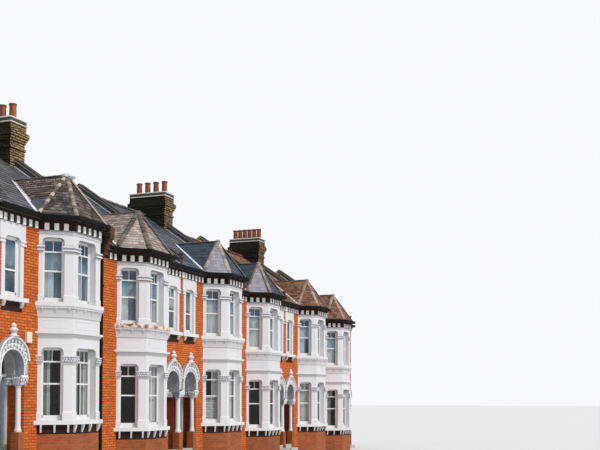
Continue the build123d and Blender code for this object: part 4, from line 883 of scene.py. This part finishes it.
# Chimneys: rough bricks, two pale lines with a dark course between them
BRICK_LENGTH, BRICK_SPACE, BRICK_HEIGHTS = 0.208, 0.21, (0.008, 0.068)
BAND_HEIGHTS, BAND_OUT = (-0.25, -0.165), 0.035
HEAD_HEIGHT, STEP_HEIGHT, STEP_COUNT, STEPS_OUT, NECK_OUT = 0.32, 0.08, 3, 0.1, 0.03
# The stack's sides by the axis that they run along: bricks in a course, the share of them that stand
# out, and how far
ROUGH_SIDES = [(0, 4, 0.62, (0.006, 0.018)), (1, 8, 0.5, (0.005, 0.014))]
rough, lines, courses = Pile("rough_bricks"), Pile("chimney_lines"), Pile("chimney_courses")
stack_seat, stack_back = roof_top(STACK_FRONT), STACK_FRONT + STACK_LENGTH


def stack_sides(out):
    """The stack's extents along and across the row, grown by a distance."""
    half = STACK_WIDTH / 2
    return (-half - out, half + out), (STACK_FRONT - out, stack_back + out)


def stack_growth(z):
    """How far the bricks stand out from the shaft: a band under its top, then the stepped head."""
    if z > SHAFT_TOP + HEAD_HEIGHT:
        return NECK_OUT
    if z > SHAFT_TOP:
        steps = 1 + int((z - SHAFT_TOP) / STEP_HEIGHT)
        return STEPS_OUT * min(steps, STEP_COUNT) / STEP_COUNT
    return BAND_OUT if BAND_HEIGHTS[0] < z - SHAFT_TOP < BAND_HEIGHTS[1] else 0.0


for line in range(1, HOUSES, 2):
    matrix = line_matrix(line)
    for row in range(int((CAP_FOOT - stack_seat) / COURSE)):
        z = stack_seat + row * COURSE
        sides = stack_sides(stack_growth(z))
        heights = [z + height for height in BRICK_HEIGHTS]
        for face in (0, 1):
            for axis, count, chance, depths in ROUGH_SIDES:
                for number in range(count):
                    start = sides[axis][0] + 0.11 * (row % 2) + number * BRICK
                    if dice.random() < chance and start + BRICK_SPACE < sides[axis][1]:
                        near = sides[1 - axis][face]
                        far = near + (2 * face - 1) * dice.uniform(*depths)
                        brick = [sorted((near, far))] * 2
                        brick[axis] = (start, start + BRICK_LENGTH)
                        rough.box(matrix, *brick, heights)
    for pile, out, low, high in (
        (lines, 0.062, CAP_FOOT - 0.012, CAP_FOOT + 0.022),
        (courses, 0.035, CAP_FOOT + 0.022, CAP_TOP - 0.05),
        (lines, 0.05, CAP_TOP - 0.05, CAP_TOP - 0.006),
    ):
        pile.box(matrix, *stack_sides(out), (low, high))
rough.build(stock, "stack_brick", bevel=0.003)
lines.build(mortar, "stack_brick", bevel=0.006)
courses.build(cap_dark, "stack_brick", bevel=0.004)

# Stone mouldings on the bays
EAVES_BAND, PLATE = (6.213, 6.388), (-0.006, 0.002)
PANEL_EDGE, PANEL_BEAD, PANEL_FOOT, PANEL_TOP = 0.13, 0.015, 3.60, 3.80
trims, painted_shade_bands, grey_shade_bands = Pile("bay_trims"), Pile("painted_shade_bands"), Pile("grey_shade_bands")
leaves, brackets = Pile("capital_leaves"), Pile("sill_brackets")
ROUND_BAY = [
    # Painted shade: near-black bands behind the dentils and under the ground-floor sills
    (painted_shade_bands, slab(0.006, *EAVES_BAND)),
    (painted_shade_bands, slab(0.004, 0.80, 1.05)),
    # Painted shade at the top of the frieze under the dentils
    (grey_shade_bands, slab(0.006, 6.175, 6.205)),
    (trims, roll(0.022, 6.108, 6.14)),
]
ON_PIERS = [
    (trims, UPPER_PIER, roll(0.024, 5.612, 5.640)),
    (trims, UPPER_PIER, roll(0.062, 5.650, 5.697)),
    (trims, UPPER_PIER, roll(0.066, 5.740, 5.790)),
    # Grey bands between the capitals' rings and behind their leaves: painted shade
    (grey_shade_bands, UPPER_PIER, slab(0.038, 5.697, 5.740)),
    (trims, LOWER_PIER, roll(0.026, 2.648, 2.676)),
    (trims, LOWER_PIER, roll(0.060, 2.838, 2.872)),
    (grey_shade_bands, LOWER_PIER, slab(0.038, 2.690, 2.838)),
    (trims, LOWER_PIER, [(0, 1.16), (0.018, 1.16), (0.018, 1.36), (0, 1.40)]),
    (trims, UPPER_PIER, [(0, 4.297), (0.018, 4.297), (0.018, 4.46), (0, 4.495)]),
]
# Half the width of a bracket under the upper and the lower sill, and its outline from the side
BRACKETS = [
    (0.018, [(0.0, 4.06), (-0.074, 4.06), (-0.090, 4.11), (-0.090, 4.187), (0.0, 4.187)]),
    (0.025, [(0.0, 0.84), (-0.025, 0.84), (-0.085, 1.0), (-0.085, 1.05), (0.0, 1.05)]),
]
for house in range(HOUSES):
    for pile, profile in ROUND_BAY:
        pile.round_bay(house, profile)
    for pile, pier, profile in ON_PIERS:
        pile.on_piers(house, pier, profile)
    for facet in range(3):
        matrix = facet_matrix(house, facet)
        near, far = PANEL_EDGE, facet_length(facet) - PANEL_EDGE
        for z in (PANEL_FOOT, PANEL_TOP):
            trims.box(matrix, (near, far), PLATE, (z, z + PANEL_BEAD))
        for s in (near, far - PANEL_BEAD):
            trims.box(matrix, (s, s + PANEL_BEAD), PLATE, (PANEL_FOOT + PANEL_BEAD, PANEL_TOP))
        for s in (0.10, 0.45, 0.80, 1.18)[: 4 if facet == 1 else 3]:
            for half, outline in BRACKETS:
                brackets.prism(matrix, outline, *span(s, half))
        for ends in pier_spans(facet, LOWER_PIER):
            start, end = (s + growth * 0.045 for s, growth in ends)
            count = max(2, round((end - start) / 0.07))
            for z, shift in ((2.735, 0.3), (2.795, 0.7)):
                for s in spaced(start, end, count, shift):
                    spot = (s + jitter(0.008), -0.044, z)
                    leaves.ball(matrix, spot, (0.017, 0.022, 0.035), jitter(1.2), dice.random())
    matrix = house_matrix(house)
    # Painted shade behind the dentils on the flat walls
    for xs in ((0.0, PORCH_ZONE), (PORCH_ZONE + BAY, WIDTH)):
        painted_shade_bands.box(matrix, xs, (-0.006, 0.0), EAVES_BAND)
    # Painted shadow of the porch window's sill on the wall under it
    painted_shade_bands.box(matrix, (0.19, 1.0), PLATE, (3.945, 4.187))
trims.build(white, "painted_stone", closed=True)
painted_shade_bands.build(painted_shade_brick, "base_brick", closed=True)
grey_shade_bands.build(carving_shade, "carved_stone", closed=True)
leaves.build(leaf_stone, "carved_stone", smooth=True)
brackets.build(white, "painted_stone", bevel=0.004)

# The second house's weathered sill has a broken, flaking edge
flakes = Pile("sill_flakes")
for facet in (1, 2):
    for number in range(34):
        s, size = dice.uniform(0.0, facet_length(facet)), dice.uniform(0.012, 0.032)
        spot, radii = (s, -0.098, dice.uniform(4.2, 4.3)), (size * 1.5, size * 0.7, size)
        flakes.ball(facet_matrix(1, facet), spot, radii, jitter(1), dice.random())
flakes.build(sills, "painted_stone", smooth=True)

# Porch arches: leaves round the ring, rolls at its edges, carved bands under it. The hood and the opening
# are half circles; of each, the height of its centre and its radius
HOOD, OPENING = (2.705, 0.578), (2.535, 0.462)
# Rows of leaves on the carved bands: height, place before the wall, and shift along the band
LEAF_ROWS = [(2.115, -0.012, 0.3), (2.165, -0.03, 0.7), (2.215, -0.045, 0.3), (2.262, -0.052, 0.7)]
ring_leaves, ring_rolls = Pile("arch_leaves"), Pile("arch_rolls")
for house in range(HOUSES):
    matrix = house_matrix(house)
    ring_rolls.arch(matrix, *HOOD, 0.022, -0.108)
    ring_rolls.arch(matrix, *OPENING, 0.02, -0.052)
    for x in span(PORCH_MIDDLE, OPENING[1]):
        foot = Matrix.Translation((x, -0.05, 0))
        ring_rolls.turn(matrix @ foot, [(0.02, 2.34), (0.02, OPENING[0])], 8)
    ring_leaves.ball(matrix, (PORCH_MIDDLE, -0.075, 3.0), (0.035, 0.035, 0.042), segments=8, rings=6)
    for angle in spaced(0, pi, 12):
        near, far = (
            Vector((PORCH_MIDDLE + radius * cos(angle), y, height + radius * sin(angle)))
            for radius, y, height in ((0.485, -0.06, OPENING[0]), (0.55, -0.075, HOOD[0]))
        )
        wide = (far - near).length
        lean = atan2(far.x - near.x, far.z - near.z)
        shares, size = ((0.3, 0.8), wide / 3.2) if wide > 0.14 else ((0.5,), wide / 1.9)
        size = min(0.07, size)
        for share in shares:
            spot = near.lerp(far, share)
            radii = (0.026, 0.038, size)
            ring_leaves.ball(matrix, spot, radii, lean + jitter(0.4), dice.random(), rings=5)
            for turn in (lean - 1.0, lean + 1.0):
                tip = spot + Vector((sin(turn), 0, cos(turn))) * size * 0.72
                ring_leaves.ball(matrix, tip, (0.016, 0.028, size * 0.55), turn)
    for number in range(6):
        for x in span(PORCH_MIDDLE, 0.525):
            ring_leaves.ball(matrix, (x, -0.055, 2.39 + number * 0.052), (0.03, 0.02, 0.02), jitter(0.5))
    for start, end in ((0.955, 1.215), (-0.18 if house in (2, 4) else 0.02, 0.175)):
        count = max(3, round((end - start) / 0.05))
        for z, y, shift in LEAF_ROWS:
            for x in spaced(start, end, count, shift):
                spot = (x + jitter(0.01), y - dice.uniform(0.0, 0.02), z + jitter(0.012))
                ring_leaves.ball(matrix, spot, (0.013, 0.026, 0.034), jitter(1.0))
        ring_rolls.box(matrix, (start, end), (-0.062, -0.045), (2.295, 2.335))
    for x in (0.180, 1.022):
        for y in (0.27 + number * 0.037 for number in range(6)):
            for z in (2.12, 2.18, 2.24):
                ring_leaves.ball(matrix, (x, y + jitter(0.008), z), (0.016, 0.020, 0.028))
    for z in (2.112, 2.165, 2.215, 2.262):
        share = (z - 2.07) / 0.2
        for y in spaced(0.03 - 0.07 * share, 0.18 + 0.03 * share, 5):
            spot = (0.966 - 0.05 * share, y, z + jitter(0.008))
            ring_leaves.ball(matrix, spot, (0.014, 0.017, 0.028))
ring_leaves.build(leaf_stone, "carved_stone", smooth=True)
ring_rolls.build(leaf_stone, "carved_stone", closed=True)

# Windows of the ground floor and upstairs: clear width on a canted side and on the front, foot and top,
# transom, and meeting rail
CANT_LIGHT = (0.125, 0.635)
WINDOWS = [
    ((CANT_LIGHT, (0.20, 1.08)), (1.23, 3.06), 2.72, 2.13),
    ((CANT_LIGHT, (0.25, 1.03)), (4.367, 5.99), 5.66, TOP_SASH_FOOT),
]
# How far the sashes' frames stand behind the wall, and the width of the frames at the rear
BAY_SETBACK, PORCH_SETBACK, REAR_FRAME = 0.20, 0.06, 0.07
bars, stiles = Pile("sash_bars"), Pile("sash_stiles")


def sash(matrix, xs, zs, near, transom, rail, lights, mullion=None):
    """Stiles, meeting rail, transom and small top panes inside a window's light."""
    (x0, x1), (z0, z1) = xs, zs
    edge, half, front, back = 0.036, 0.012, near + 0.012, near + 0.032
    for stile_xs, stile_zs in (
        ((x0, x0 + edge), zs), ((x1 - edge, x1), zs), (xs, (z0, z0 + edge * 1.8)), (xs, (z1 - edge, z1)),
    ):
        stiles.box(matrix, stile_xs, (front, back), stile_zs)
    bars.box(matrix, xs, (front - 0.008, back), (rail - 0.022, rail + 0.024))
    if lights:
        bars.box(matrix, xs, (front - 0.004, back), span(transom, 0.02))
    uprights = [(number / lights, (transom, z1)) for number in range(1, lights)]
    if mullion:
        uprights.append((mullion, (z0, transom)))
    for share, heights in uprights:
        bars.box(matrix, span(x0 + (x1 - x0) * share, half), (front, back), heights)


for house in range(HOUSES):
    for facet in range(3):
        matrix, wide = facet_matrix(house, facet), facet == 1
        mullion = (0.45 if house % 2 else 0.55) if wide else None
        for widths, heights, transom, rail in WINDOWS:
            sash(matrix, widths[wide], heights, BAY_SETBACK, transom, rail, 4 if wide else 2, mullion)
    matrix = house_matrix(house)
    sash(matrix, (0.35, 0.85), (4.38, 5.80), PORCH_SETBACK, 5.45, 5.0, 2 if house % 2 else 0)
    back = matrix @ Matrix.Translation((0, 2 * DEPTH, 0)) @ Matrix.Scale(-1, 4, (0, 1, 0))
    for x in span(WIDTH / 2, REAR_SPACING / 2):
        xs = span(x, REAR_WIDTH / 2 - REAR_FRAME)
        for z in REAR_SILLS:
            zs = (z + REAR_FRAME, z + REAR_HEIGHT - REAR_FRAME)
            sash(back, xs, zs, DEPTH + REAR_REVEAL, z + 1.2, z + REAR_HEIGHT / 2, 2, 0.5)
bars.build(joinery, "window_paint", bevel=0.003)
stiles.build(joinery, "window_paint")

# Curtains: house, storey (2 is the ground floor above the shutters), side of the bay as seen (0 left,
# 1 front, 2 right), and the shares of the window's width that each covers
HANGINGS = [
    (0, 0, 0, 0.02, 0.42, drape), (0, 0, 1, 0.40, 0.62, drape), (0, 0, 1, 0.74, 0.98, drape),
    (0, 1, 0, 0.02, 0.55, net), (0, 1, 1, 0.36, 0.70, net), (0, 1, 2, 0.05, 0.60, net),
    (1, 0, 1, 0.02, 0.46, drape), (1, 0, 1, 0.56, 0.98, net), (1, 0, 2, 0.10, 0.90, drape),
    (1, 1, 0, 0.02, 0.50, net), (1, 1, 1, 0.04, 0.30, net), (1, 1, 1, 0.52, 0.80, net),
    (2, 2, 0, 0.50, 0.98, net), (2, 0, 1, 0.30, 0.98, net), (2, 1, 0, 0.02, 0.98, net),
    (2, 1, 1, 0.02, 0.98, net), (3, 0, 1, 0.05, 0.50, net), (3, 1, 0, 0.02, 0.98, net),
    (3, 1, 1, 0.10, 0.90, net), (4, 0, 0, 0.02, 0.98, net), (4, 0, 1, 0.05, 0.95, net),
    (4, 1, 0, 0.05, 0.60, net), (4, 1, 1, 0.10, 0.90, net), (5, 0, 0, 0.05, 0.50, drape),
    (5, 1, 0, 0.10, 0.90, net), (5, 1, 1, 0.10, 0.60, net),
]
# The curtains' foot and rail by storey, their place behind the wall, and their folds
DROPS = [(1.20, 3.02), (4.34, 5.95), (2.12, 3.02)]
CURTAIN_DEPTH, FOLD, FOLD_DEPTH = 0.335, 0.075, 0.016


def curtain(name, matrix, xs, zs, material):
    """Hanging cloth in soft folds, from a rail."""
    (x0, x1), (z0, z1) = xs, zs
    folds = max(2, round((x1 - x0) / FOLD))
    columns, rows = folds * 6, 6
    points, faces = [], []
    for row in range(rows + 1):
        for column in range(columns + 1):
            wave = FOLD_DEPTH * sin(2 * pi * folds * column / columns + 0.4 * row / rows)
            x, z = x0 + (x1 - x0) * column / columns, z1 + (z0 - z1) * row / rows
            points.append((x, CURTAIN_DEPTH + wave, z))
    for row in range(rows):
        for a in range(row * (columns + 1), row * (columns + 1) + columns):
            faces.append((a, a + 1, a + columns + 2, a + columns + 1))
    rail = Pile(name + "_rail")
    rail.box(matrix, (x0 - 0.015, x1 + 0.015), span(CURTAIN_DEPTH, 0.012), (z1, z1 + 0.022))
    rail = rail.build(joinery, "window_paint", bevel=0.003)
    cloth = Pile(name)
    cloth.add(matrix, points, faces)
    cloth = cloth.build(material, smooth=True)


for number, (house, storey, side, start, end, material) in enumerate(HANGINGS):
    facet = 2 - side if house % 2 else side
    near, far = WINDOWS[storey % 2][0][side == 1]
    if side == 2 or (side == 1 and house % 2):
        start, end = 1 - end, 1 - start
    xs = (near + (far - near) * start, near + (far - near) * end)
    curtain("curtain_%02d" % number, facet_matrix(house, facet), xs, DROPS[storey], material)

# Louvred shutters in the third house's ground-floor bay
shutters = Pile("louvred_shutters")
matrix = facet_matrix(2, 0)
for x0, x1 in ((0.13, 0.378), (0.382, 0.63)):
    inner = (x0 + 0.03, x1 - 0.03)
    for xs in ((x0, inner[0]), (inner[1], x1)):
        shutters.box(matrix, xs, (0.29, 0.315), (1.23, 2.10))
    for z in (1.25 + number * 0.058 for number in range(15)):
        outline = [(0.292, z), (0.297, z - 0.006), (0.314, z + 0.026), (0.309, z + 0.032)]
        shutters.prism(matrix, outline, *inner)
shutters.build(joinery, "window_paint", closed=True)

# Iron straps under the gutters, collars on the downpipe, and the plain alarm box
STRAP = [(-0.10, 6.470), (-0.258, 6.470), (-0.258, 6.486), (-0.10, 6.484)]
straps = Pile("gutter_straps")
for house in range(HOUSES):
    straps.round_bay(house, roll(0.259, 6.565, 6.590, 0.245))
    for facet in range(3):
        for s in ((0.2, 0.64, 1.08) if facet == 1 else (0.2, 0.7)):
            straps.prism(facet_matrix(house, facet), STRAP, *span(s, 0.015))
for z in (1.6, 3.3, 5.0, 6.05):
    collar = [(0.05, z), (0.064, z + 0.008), (0.064, z + 0.05), (0.05, z + 0.058)]
    straps.turn(first_house @ Matrix.Translation((4.5, -0.115, 0)), collar, 14)
straps.build(iron, "gutter_iron", closed=True)
box = Pile("alarm_box")
box.box(first_house, (1.15, 1.36), (-0.07, 0.0), (3.18, 3.46))
box.box(first_house, (1.165, 1.345), (-0.078, -0.07), (3.195, 3.36))
box.build(cream, "window_paint", bevel=0.012)

# Door mouldings, letter plates and knobs, which move with the doors
LEAF, LEAF_FOOT, LEAF_HEIGHT = (0.1805, 1.022), 0.308, 1.98
STILE, BEAD, HALF_RAIL, KICK_RAIL = 0.11, 0.012, 0.055, 0.198
BEAD_DEPTHS, FIELD_DEPTHS, FIELD_EDGES = (0.521, 0.531), (0.532, 0.541), (0.05, 0.06)
panel = (LEAF[1] - LEAF[0] - 3 * STILE) / 2
lock_rail = LEAF_FOOT + LEAF_HEIGHT * 0.42
panel_heights = [
    (LEAF_FOOT + KICK_RAIL, lock_rail - HALF_RAIL),
    (lock_rail + HALF_RAIL, LEAF_FOOT + LEAF_HEIGHT - STILE),
]
middle, knob = sum(LEAF) / 2, lock_rail + 0.16
for house, letter in enumerate(LETTERS):
    matrix, body = house_matrix(house), "door_" + letter
    beads, metal = Pile("door_beads_" + letter), Pile("door_metal_" + letter)
    for x0 in (LEAF[0] + STILE, LEAF[0] + 2 * STILE + panel):
        x1 = x0 + panel
        for z0, z1 in panel_heights:
            for xs, zs in (
                (span(x0, BEAD), (z0, z1)), (span(x1, BEAD), (z0, z1)),
                ((x0, x1), span(z0, BEAD)), ((x0, x1), span(z1, BEAD)),
            ):
                beads.box(matrix, xs, BEAD_DEPTHS, zs)
            dx, dz = FIELD_EDGES
            beads.box(matrix, (x0 + dx, x1 - dx), FIELD_DEPTHS, (z0 + dz, z1 - dz))
    beads.build(door_paints[house], "door_paint", bevel=0.003, body=body)
    metal.box(matrix, span(middle, 0.12), (0.522, 0.53), span(lock_rail, 0.03))
    metal.ball(matrix, (middle, 0.500, knob), (0.028, 0.022, 0.028), segments=14, rings=10)
    metal.box(matrix, span(middle, 0.02), (0.51, 0.53), span(knob, 0.02))
    metal.build(brass, "hinge_brass", bevel=0.002, body=body)


# Camera, light and floor. The focal length and the eye's row are in the photo's pixels
def turn_to(item, direction):
    item.rotation_euler = Vector(direction).to_track_quat("-Z", "Y").to_euler()


PHOTO_WIDTH, PHOTO_HEIGHT, FOCAL, EYE_ROW, SENSOR = 600, 450, 917.94, 359.38, 36
camera_data = bpy.data.cameras.new("camera")
camera_data.sensor_width, camera_data.clip_end = SENSOR, 500
camera_data.lens = FOCAL / PHOTO_WIDTH * SENSOR
camera_data.shift_y = (EYE_ROW - PHOTO_HEIGHT / 2) / PHOTO_WIDTH
camera = add_object("camera", camera_data)
camera.location = (-32.84, -18.77, 2.64)
yaw, pitch = radians(20.77), radians(2.44)
turn_to(camera, (cos(pitch) * cos(yaw), cos(pitch) * sin(yaw), sin(pitch)))
bpy.context.scene.camera = camera

floor_mesh = bpy.data.meshes.new("floor")
FLOOR_REACH = 300
floor_corners = [(FLOOR_REACH * x, FLOOR_REACH * y, 0) for x, y in ((-1, -1), (1, -1), (1, 1), (-1, 1))]
floor_mesh.from_pydata(floor_corners, [], [(0, 1, 2, 3)])
floor_paint = Paint("floor_pale", 0.9)
floor_paint.set({"Base Color": (0.72, 0.72, 0.71)})
floor_mesh.materials.append(floor_paint.material)
floor = add_object("floor", floor_mesh)

sun_data = bpy.data.lights.new("sun", "SUN")
sun_data.energy, sun_data.angle, sun_data.color = 2.25, radians(6), (1.0, 0.97, 0.93)
turn_to(add_object("sun", sun_data), (0.18, 0.62, -0.78))

# A pale backdrop, also in glass and reflections, and a bluer sky that lights the row
world = bpy.data.worlds.new("world")
bpy.context.scene.world = world
world.use_nodes = True
air = Nodes(world.node_tree)
sky = air.tree.nodes["Background"]
air.feed(sky.inputs["Color"], (0.86, 0.92, 1.0))
air.feed(sky.inputs["Strength"], 0.62)
pale = air.node("Background", {"Color": (0.93, 0.95, 0.98)})
rays = air.node("LightPath").node.outputs
seen = air.math("MAXIMUM", rays["Is Camera Ray"], rays["Is Glossy Ray"])
seen = air.math("MAXIMUM", seen, rays["Is Transmission Ray"])
blend = air.node("MixShader", {0: seen, 1: sky.outputs[0], 2: pale})
air.feed(air.tree.nodes["World Output"].inputs["Surface"], blend)
bpy.context.scene.view_settings.view_transform = "Standard"
